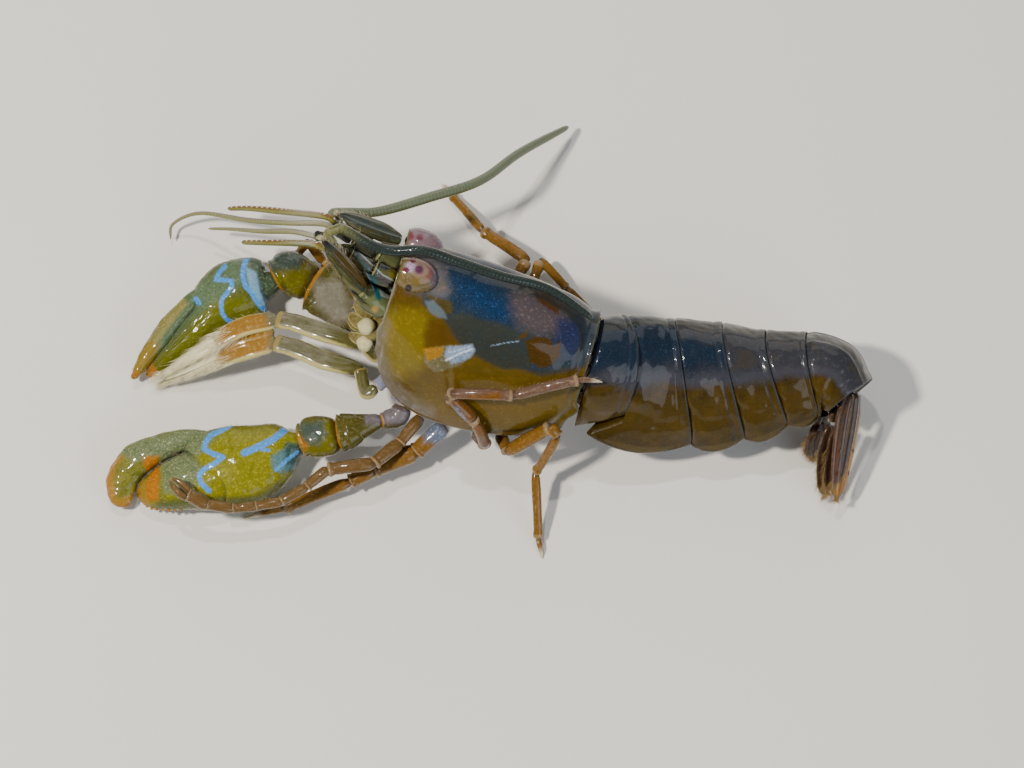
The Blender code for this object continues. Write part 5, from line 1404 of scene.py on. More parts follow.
legs = {
    # joints outwards from the start, half widths of the lengths between them
    "leg_2_left": (
        ((-21.0, -3.9, 4.3), (-23.2, -5.9, 4.7), (-27.2, -6.5, 4.8), (-29.0, -8.0, 4.6), (-31.2, -9.2, 4.2),
         (-33.4, -9.6, 4.1), (-35.4, -9.8, 4.2), (-37.6, -9.6, 4.7), (-39.2, -8.9, 5.3), (-40.7, -7.6, 5.6)),
        (0.55, 0.62, 0.62, 0.5, 0.45, 0.45, 0.45, 0.5, 0.6, 0.62),
    ),
    "leg_3_left": (
        ((-19.6, -4.2, 2.9), (-23.3, -5.6, 2.3), (-25.3, -6.6, 1.9), (-31.1, -8.7, 0.8), (-34.6, -9.4, 0.1)),
        (0.8, 0.85, 0.7, 0.55, 0.35),
    ),
    "leg_4_left": (
        ((-13.56, -4.5, 5.7), (-14.6, -3.35, 9.2), (-16.6, -2.1, 11.3), (-16.3, -2.2, 12.3),
         (-11.1, -2.4, 12.3), (-5.5, -1.25, 13.1), (-3.5, -1.2, 12.4)),
        (0.6, 0.6, 0.6, 0.5, 0.5, 0.48, 0.3),
    ),
    "leg_5_left": (
        ((-11.6, -4.9, 5.0), (-7.9, -3.9, 8.4), (-7.3, -4.5, 8.0), (-9.2, -6.3, 3.6), (-8.95, -11.4, 0.7),
         (-8.6, -13.0, 0.05)),
        (0.55, 0.62, 0.55, 0.46, 0.4, 0.28),
    ),
    "leg_2_right": (
        ((-20.6, 6.6, 1.1), (-24.2, 10.4, 1.0), (-27.9, 14.0, 1.9), (-29.2, 15.2, 3.4), (-30.2, 14.6, 1.9),
         (-30.6, 13.2, 0.7), (-30.8, 11.6, 0.6)),
        (0.42, 0.48, 0.48, 0.45, 0.4, 0.35, 0.3),
    ),
    "leg_3_right": (
        ((-14.6, 6.3, 0.9), (-9.9, 13.7, 2.9), (-13.8, 16.8, 2.0), (-16.6, 20.8, 0.5), (-17.5, 22.1, 0.05)),
        (0.5, 0.55, 0.55, 0.42, 0.28),
    ),
    "leg_4_right": (
        ((-11.6, 6.0, 0.9), (-8.7, 13.9, 2.3), (-6.4, 11.6, 1.4), (-3.4, 8.6, 0.45), (-2.4, 7.9, 0.05)),
        (0.5, 0.5, 0.42, 0.38, 0.28),
    ),
    "leg_5_right": (
        ((-9.4, 5.0, 0.9), (-6.6, 9.4, 2.2), (-3.6, 8.0, 1.6), (0.6, 6.9, 0.45), (1.9, 6.6, 0.05)),
        (0.45, 0.45, 0.4, 0.36, 0.28),
    ),
}
legTints = {
    "leg_2_left": {"tan": 0.5}, "leg_3_left": {"orange": 0.1}, "leg_4_left": {"mauve": 0.5},
    "leg_5_left": {"orange": 0.3},
    "leg_2_right": {"orange": 0.6}, "leg_3_right": {"orange": 0.8}, "leg_4_right": {"orange": 0.4},
    "leg_5_right": {"orange": 0.2},
}
legFinish = wetFinish(
    # walking legs: thin shell that lets light through, tan to orange brown, shiny
    "wet walking leg shell, orange brown", "6d4f26",
    specks=(
        (1.1, *cloudy, "74561e"), (0.25, *sparse, "4c3416"), (0.3, 0.54, 0.7, 0.5, "8c6c38", True),
    ),
    marks=(
        ("tan", "5e4828", 0.5, 0.4, 1.0, 0.85, (0.3, *finer, "7a6240")),
        ("mauve", "5c463c", 0.5, 0.4, 1.0, 0.85, (0.3, *finer, "7e6858")),
        ("orange", "704e14", 0.6, 0.4, 1.0, 0.8, (0.3, *finer, "8e6e36")),
        ("rust", "6a4208", 0.3, 0.2, 0.6, 0.9, (0.3, *finer, "865a1c")),
        ("coxa", "56667e", 0.4, 0.3, 0.6, 0.85, (0.3, *finer, "8c9cb4")),
        # knee: lilac grey over the far end of each length, a painted highlight
        ("knee", "7c7c86", 0.25, 0.2, 0.4, 0.8), ("cuff", "8c7040", 0.05, 0.04, 0.4, 0.8),
        ("neck", "4b3820", 0.12, 0.08, 0.4, 0.6), ("tip", "cfc4a6", 0.35, 0.15, 0.5, 0.9),
    ),
    rough=(0.16, 0.32), bump=0.3, bumpSize=0.16, coat=0.9, soft=0.16, clear=0.08, depth=0.05,
)


def sideOf(way):
    # A way to lay an oval flat against, kept clear of the length's own way.
    wanted = unit((0.05, 0.1, 1.0))
    return wanted if abs(wanted @ way) <= 0.9 else np.array((0.95, 0.3, 0.1))


def lengthOfLeg(low, high, half, last, first, seed):
    # A leg's length bows a little, is widest past its start and ends in a cuff; the last one
    # is a curved claw that tapers to its tip.
    run, length = high - low, np.linalg.norm(high - low)
    way = unit(run)
    flat = sideOf(way)
    bow = np.cross(way, np.cross(flat, way)) * length
    shares = np.array([0.0, 0.25, 0.55, 0.8, 1.0])
    arch = np.sin(shares * math.pi) * (0.07 if last else 0.025)
    path = low + np.multiply.outer(shares, run) + np.multiply.outer(arch, bow)
    profile = (0.8, 0.86, 0.72, 0.42, 0.13) if last else (0.86, 1.02, 0.98, 0.94, 1.0)

    def marks(grid):
        past = np.linspace(0, length, len(grid))[:, None]
        # the far end of every length but the last carries the knee's painted highlight
        return {"tip": past - 0.55 * length} if last else {"knee": past - 0.9 * length - 0.05}

    return articlePart(
        path, np.multiply.outer(profile, (half, half * 0.85)), flat, int(np.clip(length * 11, 26, 90)), 30, 2.1,
        neck=0.9 if first else 0.72, cuff=0.0 if last else 0.1, tuck=0.22, relief=shellRelief(seed, 0.02, 0.008),
        marks=marks,
    )


def pincerParts(low, high, half, seed):
    # The little hand of the second leg: two fingers side by side that close at their tips.
    way = unit(high - low)
    across = unit(np.cross(sideOf(way), way))
    parts = []
    for spread in (1, -1):
        shares = np.array([0.0, 0.3, 0.7, 1.0])
        apart = np.array([0.55, 0.68, 0.5, 0.16]) * half * spread
        path = low + np.multiply.outer(shares, high - low) + np.multiply.outer(apart, across)
        halves = np.multiply.outer((0.48, 0.5, 0.36, 0.1), (half, half * 1.2))
        parts.append(articlePart(
            path, halves, sideOf(way), 44, 22, neck=0.85, cuff=0.0, tuck=0.2, relief=shellRelief(seed, 0.01, 0.01)
        )[0])
    return parts


legShapes = {
    "coxa": ((422, 408), (458, 408), (472, 430), (462, 448), (424, 442)),
    "rust": ((452, 400), (500, 392), (508, 436), (476, 436), (456, 420)),
}
legHairs = []
for order, (name, (joints, halves)) in enumerate(legs.items()):
    pair, side = name.rsplit("_", 1)
    _, start = limbStart(pair, side)
    joints = np.vstack([start[0], joints])
    parts = []
    for index, half in enumerate(halves):
        low, high = joints[index], joints[index + 1]
        last = index == len(halves) - 1
        if last and pair == "leg_2":
            parts += pincerParts(low, high, half, 100 + order)
            continue
        part, grid = lengthOfLeg(low, high, half, last, index == 0, 100 + order * 10 + index)
        parts.append(part)
        if index:
            count = int(np.linalg.norm(high - low) * (5 if index > len(halves) - 3 else 2))
            legHairs += scatter(grid, count, (4, grid.shape[0] - 4), (0, 30), (0.25, 0.6), (0.6, 1.6), 0.011)
    for part in parts:
        part["marks"].update(photoMarks(part["points"], legShapes))
    setMarks(parts, **legTints[name])
    newPiece(f"walking_{name}", parts, legFinish, (f"{pair}_upper_{side}", f"{pair}_lower_{side}"))
newPiece("leg_setae", legHairs, hairFinish, uvName="OFBake")

mouthFeet = {
    "left": (
        (-24.4, 2.4, 5.6), (-27.5, 3.4, 5.3), (-30.4, 4.7, 5.1), (-32.0, 5.2, 4.9), (-32.7, 5.1, 4.6),
        (-35.0, 4.7, 3.9), (-37.2, 4.2, 2.9), (-39.8, 3.4, 1.7), (-41.6, 2.9, 0.9),
    ),
    "right": (
        (-24.2, 4.9, 5.3), (-27.4, 5.9, 5.3), (-30.3, 7.0, 5.1), (-31.9, 7.4, 4.9), (-32.6, 7.2, 4.8),
        (-34.9, 6.7, 4.6), (-37.2, 5.5, 4.0), (-39.9, 4.1, 3.0), (-42.1, 3.1, 2.1),
    ),
    "halves": (
        (0.5, 0.5), (0.55, 0.5), (0.6, 0.5), (0.9, 0.5), (0.85, 0.45), (0.75, 0.4), (0.9, 0.42), (0.95, 0.4),
        (0.75, 0.35), (0.4, 0.28), (0.12, 0.12),
    ),
    "lengths": ((0, 2), (2, 5), (5, 8), (8, 10)),
    "brush": 760,
    # the mat of setae between the two end lengths
    "mat": {"from": 3, "halves": (0.4, 0.75, 0.8, 0.7, 0.45, 0.12), "thick": 0.22, "drop": 0.15},
}
mouthFootFinish = wetFinish(
    # third mouth feet: glassy flat lengths with cream edges, orange before the brush
    "wet mouth foot shell, clear olive and cream", "65624a",
    specks=((1.0, *cloudy, "7a7760"), (0.3, *finer, "4f4c2c"), (0.3, 0.54, 0.7, 0.6, "8c8a70", True)),
    marks=(
        ("olive", "524f1e", 0.6, 0.4, 0.8, 0.8),
        ("orange", "946a20", 0.45, 0.35, 0.5, 0.9, (0.3, *fine, "b2955a")),
        ("cream", "cbc07a", 0.08, 0.06, 0.5, 0.9), ("brush", "efe8c0", 0.5, 0.3, 0.5, 0.95),
        ("cuff", "a08a4c", 0.05, 0.04, 0.4, 0.7),
    ),
    rough=(0.12, 0.28), bump=0.25, bumpSize=0.16, coat=1.0, soft=0.18, clear=0.14, depth=0.05,
)
creamHairFinish = wetFinish(
    "wet cream brush seta", "f8f0c8", specks=((0.6, 0.45, 0.65, 0.6, "c2b480"), (0.25, *even, "f2efdc")),
    **hairLook,
)


# The mouth feet's marks, in the photograph's pixels.
footShapes = {
    "orange": ((214, 316), (262, 310), (272, 332), (266, 356), (214, 364)),
    "brush": ((217, 330), (217, 366), (150, 390), (150, 372), (186, 340)),
    "olive": ((380, 360), (380, 396), (330, 372), (330, 330), (350, 330)),
}


def footRelief(grid, lay, share):
    # Low swellings and a groove down the middle, faded out at both ends.
    groove = hump(lay[..., 0], 0, 0.16) * (ease(share, 0.1, 0.3) * (1 - ease(share, 0.7, 0.9)))[:, None]
    return 0.03 * ripple(grid, 1.8, 150) - 0.06 * groove


brushHairs, mouthHairs = [], []
for side in ("left", "right"):
    way, start = limbStart("maxilliped", side)
    path = np.vstack([start, mouthFeet[side]])
    halves = np.array(mouthFeet["halves"])
    parts = []
    for index, (low, high) in enumerate(mouthFeet["lengths"]):
        part, grid = articlePart(
            path[low : high + 1], halves[low : high + 1], (0.0, 0.2, 1.0), 70, 44, 2.4, neck=0.8,
            cuff=0.06 if index < 3 else 0.0, tuck=0.25, start=way if not index else None,
            relief=footRelief, marks=lambda grid: photoMarks(grid, footShapes),
        )
        edge = np.abs(part["lay"][:, 0]) / np.maximum(np.abs(part["lay"][:, 0]).max(), 0.1)
        part["marks"]["cream"] = (edge - 0.8) * 0.8
        parts.append(part)
        if index in (1, 2):
            count = 60
            mouthHairs += growOn(
                grid, chance.integers(8, 66, count), chance.choice([0, 1, 21, 22, 43], count),
                chance.uniform(0.3, 0.9, count), chance.uniform(0.4, 1.4, count), 0.012,
            )
        if index >= 2:
            count = mouthFeet["brush"] if index == 3 else mouthFeet["brush"] // 3
            low = 4 if index == 3 else 44
            brushHairs += scatter(grid, count, (low, 67), (0, 44), (0.7, 1.7), (3.0, 7.0), 0.022, 0.5)
    newPiece(f"mouth_foot_{side}", parts, mouthFootFinish, (f"maxilliped_{side}",))
mat = mouthFeet["mat"]
middleLine = (np.array(mouthFeet["left"]) + mouthFeet["right"])[mat["from"] :] / 2 - (0, 0, mat["drop"])
matPart, _ = leafPart(
    middleLine, mat["halves"], mat["thick"], (0.0, 0.2, 1.0), 90, 60, 6, lambda grid: photoMarks(grid, footShapes)
)
newPiece("mouth_foot_mat", [matPart], mouthFootFinish)
newPiece("mouth_foot_brush", brushHairs, creamHairFinish, uvName="OFBake")
newPiece("mouth_foot_setae", mouthHairs, hairFinish, uvName="OFBake")

mouth = {
    # ahead, half width, upper and lower end of each row
    "rows": ((17.3, 2.7, 0.2, -2.0), (17.75, 2.9, 0.15, -2.3), (18.2, 2.85, 0.3, -2.65),
        (18.8, 2.4, 0.2, -2.4), (19.2, 1.6, -0.3, -1.8)),
    "lobes": (((18.7, 2.5, -0.4), (0.75, 0.7, 0.8)), ((18.4, 2.6, -2.2), (0.7, 0.65, 0.8))),
    # thin plates laid over each other: root, tip and half width in the body frame
    "plates": (
        ((18.4, 1.5, 0.2), (20.2, 1.0, 0.6), 0.6), ((18.5, 1.9, -0.6), (20.4, 1.2, -0.7), 0.62),
        ((18.6, 1.3, -1.3), (20.3, 0.7, -1.7), 0.6), ((18.2, 2.0, -1.9), (19.9, 1.5, -2.7), 0.55),
    ),
}
mouthFinish = wetFinish(
    # mouth plates: pearly and olive, very wet
    "wet mouth plate, pearl and olive", "7c7244",
    specks=((1.1, *cloudy, "5f5528"), (0.3, *finer, "9a9064")),
    marks=(
        ("pearl", "c9c193", 0.3, 0.2, 0.5, 0.95, (0.35, *finer, "a79c5c")),
        ("edge", "a59a62", 0.12, 0.1, 0.4, 0.8), ("rib", "4e4622", 0.1, 0.05, 0.4, 0.6),
    ),
    rough=(0.1, 0.26), bump=0.25, bumpSize=0.16, coat=1.0, soft=0.2, clear=0.05,
)


def mouthParts():
    # A snout of oval rows that closes ahead, with round lobes and thin plates on both sides.
    table = np.array(mouth["rows"])
    ahead = 17.3 + 1.95 * roundShares(44, 0.6)
    half, top, bottom = flow(table[:, 0], table[:, 1:], np.clip(ahead, 17.3, 19.2), True).T[..., None]
    close = roundEnds((ahead - 17.3) / 1.951, 0, 0.28)[:, None]
    cosine, sine = ovalRow(64)
    x = half * close * cosine
    grid = body.at(ahead[:, None], x, (top + bottom) / 2 + (top - bottom) / 2 * close * sine)
    grid = grid + outward(grid) * (0.09 * ripple(grid, 1.4, 160) - 0.12 * hump(x, 0, 0.3))[..., None]
    parts = [gridPart(grid)]
    for way in (1, -1):
        for (at, side, up), radii in mouth["lobes"]:
            parts.append(domePart(
                body.at(at, way * side, up), radii, body.ways(), marks={"pearl": 0.5},
                relief=lambda grid: 0.05 * ripple(grid, 0.9, 161),
            ))
        for root, tip, half in mouth["plates"]:
            low, high = np.array(root) * (1, way, 1), np.array(tip) * (1, way, 1)
            path = body.line([low, (low + high) / 2 + (0, 0.25 * way, -0.12), high])
            flat = body.left * way + body.dorsal * 0.4
            parts.append(leafPart(path, (half * 0.7, half, half * 0.5), 0.17, flat, 34, 26, 1)[0])
    return parts


newPiece("mouth_plates", mouthParts(), mouthFinish, ("mouthparts",))
print("legs and mouth made")

sternum = {"rows": (2.2, 3.2, 6.0, 9.0, 12.0, 14.0, 15.5, 16.2), "grooves": (5.6, 8.1, 10.7, 12.7, 14.5)}
sternumFinish = wetFinish(
    # underside and leg bosses: clear shell over pale flesh, glassy grey lilac
    "wet underside shell, grey lilac", "7b7474",
    specks=((1.2, *cloudy, "8f8a92"), (0.4, *finer, "63594c"), (0.2, 0.55, 0.7, 0.5, "aeb0bc")),
    marks=(
        ("lilac", "7a83a2", 0.4, 0.3, 0.6, 0.7), ("cuff", "9a8a70", 0.06, 0.04, 0.4, 0.7),
        ("groove", "4b4034", 0.15, 0.1, 0.5, 0.8),
    ),
    rough=(0.08, 0.2), bump=0.2, bumpSize=0.3, coat=1.0, soft=0.2, clear=0.1,
)


def sternumParts():
    # Rows along the body, each a rounded bar that fills the trough; grooves part its plates.
    table = np.array([[row, *[np.interp(row, *np.array(carapace["stations"])[:,
        (0, column)].T) for column in (1, 2, 3)]]
                      for row in sternum["rows"]])
    ahead = 2.2 + 14.0 * roundShares(96, 0.3)
    half, top, bottom = flow(table[:, 0], table[:, 1:], ahead, True).T
    inner = (carapace["edge"] * half - chest["wall"] - 0.45) * roundEnds((ahead - 2.2) / 14.001, 0.06, 0.05)
    roof = np.minimum(carapace["hollow"], 0.4 * (top - bottom)) - 0.39
    cosine, sine = ovalRow(56, 2.6)
    x = inner[:, None] * cosine
    y = bottom[:, None] + np.where(sine > 0, roof[:, None] * sine, 0.5 * sine)
    grid = body.at(ahead[:, None], x, y)
    cut = sum(hump((ahead - place), 0, 0.16) for place in sternum["grooves"])
    below = (sine < 0)[None, :]
    relief = (-0.16 * cut[:, None] - 0.12 * hump(x, 0, 0.25) + 0.05 * ripple(grid, 1.6, 170)) * below
    grid = grid + outward(grid) * relief[..., None]
    parts = [gridPart(grid, {"groove": (cut[:, None] - 0.6) * 0.5})]
    for pair, (_, radius, _) in chest["pairs"].items():
        for side in ("left", "right"):
            root, end, way = coxaEnd(pair, side)
            path = [root, root * 0.4 + end * 0.6, end]
            halves = np.multiply.outer((0.8, 1.08, 0.92), (radius, radius))
            part, _ = articlePart(
                path, halves, body.forward, 44, 36, neck=0.9, cuff=0.06, tuck=0.0,
                relief=shellRelief(175, 0.05, 0.015), marks=lambda grid: {"lilac": 0.5},
            )
            parts.append(part)
    return parts


newPiece("sternum_and_bosses", sternumParts(), sternumFinish, ("chest_underside",))

feelers = {
    "antennuleRoot": (17.75, 1.0, 4.2), "antennuleTip": {"left": (23.6, 0.45, 5.2), "right": (23.6, -1.5, 5.9)},
    "antennuleHalves": ((0.82, 0.78), (0.85, 0.8), (0.76, 0.7), (0.78, 0.72), (0.68, 0.62), (0.72, 0.62)),
    "antennuleShares": (0.0, 0.3, 0.36, 0.7, 0.75, 1.0), "spread": 0.52, "clearance": 0.5, "stub": 0.7,
    "thick": {
        "right": ((-30.5, 14.9, 11.2), (-34.1, 16.7, 7.6), (-36.2, 17.5, 5.6)),
        "left": ((-30.2, 12.2, 10.8), (-33.2, 13.5, 7.6), (-34.9, 14.2, 5.9)),
    },
    "thin": {
        "right": ((-30.6, 14.1, 10.7), (-34.3, 15.8, 7.1), (-38.7, 17.7, 4.0), (-41.2, 17.5, 2.0),
            (-41.5, 16.4, 1.0)),
        "left": ((-30.2, 13.1, 11.2), (-33.0, 14.4, 8.0), (-36.0, 15.8, 5.0), (-38.0, 16.4, 3.6)),
    },
    "thickRadii": (0.3, 0.3, 0.3, 0.2), "thinRadii": (0.25, 0.25, 0.25, 0.2, 0.12),
    "antenna": {
        "left": ((17.65, 2.45, 2.0), (20.3, 2.7, 3.4), (23.3, 1.9, 6.7), (24.4, 3.1, 7.9)),
        "right": ((17.65, -2.45, 2.0), (20.2, -3.4, 2.6), (23.0, -4.7, 3.6), (23.6, -3.3, 5.9)),
    },
    "antennaHalves": ((1.05, 1.05), (1.2, 1.15), (0.75, 0.7), (0.55, 0.5), (0.5, 0.45)),
    "scaleFoot": {"left": (-0.4, 1.2, 1.15), "right": (-2.4, 0.5, 2.0)},
    "scaleHalves": {"left": (0.7, 1.25, 1.05, 0.2), "right": (0.6, 1.3, 1.2, 0.3)},
    "whipLeft": (
        (23.7, 1.6, 8.1), (22.9, 1.5, 8.4), (20.6, 1.5, 7.6), (18.5, 1.5, 7.6), (15.9, 1.4, 8.45),
        (13.0, 1.1, 8.1), (9.0, 1.0, 7.8), (5.0, 0.4, 7.4), (1.5, 1.0, 6.6), (0.4, 1.3, 6.15),
    ),
    "whipRight": (
        (-26.5, 13.9, 13.6), (-25.2, 13.8, 13.9), (-22.6, 14.3, 12.9), (-18.3, 16.2, 11.5),
        (-14.0, 18.6, 9.4), (-10.5, 22.5, 6.4), (-6.2, 26.9, 1.8),
    ),
    "whipRadii": (0.4, 0.42, 0.45, 0.45, 0.44, 0.42, 0.4, 0.36, 0.25), "ring": 0.34,
}
feelerFinish = wetFinish(
    # antennal whips: ringed rods, olive grey, half clear with a pale lower line
    "wet ringed feeler, olive grey", "74744a",
    specks=((1.5, *cloudy, "6e6c3c"), (0.25, *finer, "464e34"), (0.2, 0.56, 0.7, 0.5, "84835c")),
    marks=(
        ("slate", "1a272a", 2.4, 0.8, 1.5, 0.95, (0.25, *finer, "2a3a3e")),
        ("tan", "66461a", 0.6, 0.4, 1.0, 0.9, (0.25, *finer, "80623a")),
        ("pale", "868070", 0.6, 0.3, 1.0, 0.9), ("underLine", "7c8238", 0.06, 0.05, 0.5, 0.7),
        ("upperLine", "626c5a", 0.1, 0.05, 0.5, 0.85),
        ("ring", "3c3e2a", 0.035, 0.0, 0.5, 0.5), ("dot", "f0ead6", 0.03, 0.0, 0.5, 0.95),
    ),
    rough=(0.16, 0.3), bump=0.2, bumpSize=0.14, coat=0.8, soft=0.15, clear=0.06, depth=0.04,
)
stalkFinish = wetFinish(
    # antennule stalks, antenna bases and scales: dark olive and teal with wet ridges
    "wet feeler base, olive and teal", "403c1c",
    specks=((1.1, 0.42, 0.64, 0.75, "2c3a38"), (0.3, *finer, "565434"), (0.25, 0.54, 0.7, 0.5, "6c7870", True)),
    marks=(
        ("green", "565c3a", 0.6, 0.4, 0.8, 0.8), ("dark", "2a2c26", 0.5, 0.4, 0.8, 0.8),
        ("edge", "54522c", 0.1, 0.08, 0.4, 0.8), ("rib", "27363c", 0.1, 0.06, 0.4, 0.8),
        ("panel", "4b3c12", 0.25, 0.2, 0.5, 0.9, (0.4, *dense, "6e4a12"), (0.2, *sparse, "2c2610")),
        ("strip", "484442", 0.15, 0.1, 0.4, 0.9, (0.2, *fine, "625e60")),
        ("box", "242a31", 0.2, 0.15, 0.4, 0.9, (0.2, *sparse, "4c4656")),
        ("patch", "5a5210", 0.2, 0.2, 0.4, 0.9), ("moss", "565e3a", 0.3, 0.25, 0.5, 0.85),
        ("tealRidge", "0e444c", 0.15, 0.12, 0.4, 0.95, (0.2, *sparse, "1f6470")),
        ("greyTeal", "364644", 0.12, 0.1, 0.4, 0.9), ("crescent", "85897f", 0.08, 0.06, 0.3, 0.9),
        ("paleLine", "8f9a98", 0.04, 0.03, 0.3, 0.85), ("paleLineTwo", "7c8680", 0.04, 0.03, 0.3, 0.8),
        ("amberSpot", "9a7a3a", 0.15, 0.1, 0.3, 0.85),
        ("tip", "18191c", 0.4, 0.2, 0.5, 0.85), ("cuff", "8a8450", 0.05, 0.04, 0.4, 0.8),
    ),
    rough=(0.14, 0.3), bump=0.35, bumpSize=0.16, coat=0.9, soft=0.1,
)


# What the feelers' bases and the face show, in the photograph's pixels.
faceShapes = {
    "panel": ((333, 250), (351, 252), (358, 264), (366, 274), (370, 288), (362, 287), (352, 276), (340, 265)),
    "strip": (((360, 255), (370, 266), (382, 277), (392, 286)), 7.0),
    "box": ((371, 257), (391, 260), (393, 270), (384, 271), (374, 264)),
    "patch": ((386, 270), (399, 266), (400, 281), (391, 278)),
    "moss": ((366, 296), (378, 298), (388, 302), (400, 300), (402, 306), (388, 317), (370, 312)),
    "greyTeal": (((354, 251), (363, 263), (374, 275), (379, 285)), 5.0),
    "tealRidge": (((371, 276), (375, 286), (379, 297)), 6.0),
    "crescent": ((379, 290), (386, 291), (397, 288), (396, 295), (388, 299), (381, 296)),
    "paleLine": (((358, 251), (371, 264), (383, 275), (399, 284)), 1.5),
    "paleLineTwo": (((364, 269), (370, 280), (374, 290)), 1.3),
    "amberSpot": ((375, 309), 3.2),
}
muzzle = {
    # the face plate's middle line in pixels, its height above the floor and its half width
    "line": ((408, 290), (396, 284), (380, 276), (362, 266), (346, 254), (334, 246)),
    "high": (13.4, 13.8, 14.3, 14.9, 15.5, 15.8), "halves": (1.3, 1.75, 1.9, 1.45, 0.95, 0.35),
    # glossy round ends of the stalks: pixel, height, radius
    "ends": (((320, 236), 16.9, 0.55), ((329, 243), 17.0, 0.5), ((338, 226), 16.6, 0.5)),
}


def facePlate():
    # The floor between the feelers' bases: a leaf with ridges that faces the camera.
    path = fromPhoto(muzzle["line"], muzzle["high"])
    part, _ = leafPart(path, muzzle["halves"], 0.5, toCamera, 90, 60, 4,
        lambda grid: photoMarks(grid, faceShapes))
    setMarks([part], tip=-9.0)
    return part


def stalkPiece(name, parts, side, node):
    # A piece of a feeler's base; on the left it shows the face's marks.
    if side == "left":
        for part in parts:
            part["marks"].update(photoMarks(part["points"], faceShapes))
    newPiece(f"{name}_{side}", parts, stalkFinish, (f"{node}_{side}",))


def whipPart(points, radii, tint, dots=False, slate=None):
    # A round rod along a smooth line, in rings: each ring swells towards its far end and
    # then steps in, and the rod thins to a point.
    points = np.asarray(points, float)
    count = np.arange(len(points))
    smooth = flow(count, points, np.linspace(0, len(points) - 1, 400))
    length = alongLength(smooth)
    rows = int(length[-1] / 0.055)
    wanted = np.linspace(0, length[-1], rows)
    centres = np.stack([np.interp(wanted, length, smooth[:, axis]) for axis in range(3)], 1)
    share = wanted / length[-1]
    radius = np.interp(share, np.linspace(0, 1, len(radii)), radii) * roundEnds(share, 0.01, 0.03)
    phase = (wanted / feelers["ring"]) % 1
    radius = radius * (0.97 + 0.06 * phase * (1 - ease(phase, 0.82, 1.0)))
    grid, lay = sweep(centres, radius + 0.004, radius + 0.004, (0.1, 0.25, 1.0), 18)
    sideways = np.abs(lay[..., 0]) / np.maximum(radius, 0.05)[:, None]
    lower = -lay[..., 1] / np.maximum(radius, 0.05)[:, None]
    marks = {
        tint: 0.6, "ring": 0.03 - np.minimum(phase, 1 - phase)[:, None] * feelers["ring"],
        "underLine": (np.abs(lower) < 2) * (0.25 - np.abs(sideways - 0.9)) * 0.3,
    }
    if slate is not None:
        # the dark one has no pale lines
        marks["slate"] = (wanted - slate)[:, None]
        marks.pop("underLine")
    elif tint == "olive":
        marks["upperLine"] = (-lower / 2 - 0.05) * 0.5
    if dots:
        pair = feelers["ring"] * 2
        second = (wanted / pair) % 1
        away = np.minimum(second, 1 - second)[:, None] * pair
        marks["dot"] = 0.1 - np.hypot(away, lay[..., 0]) + np.where(lower > 0, -9.0, 0.0)
    return gridPart(grid, marks, lay)


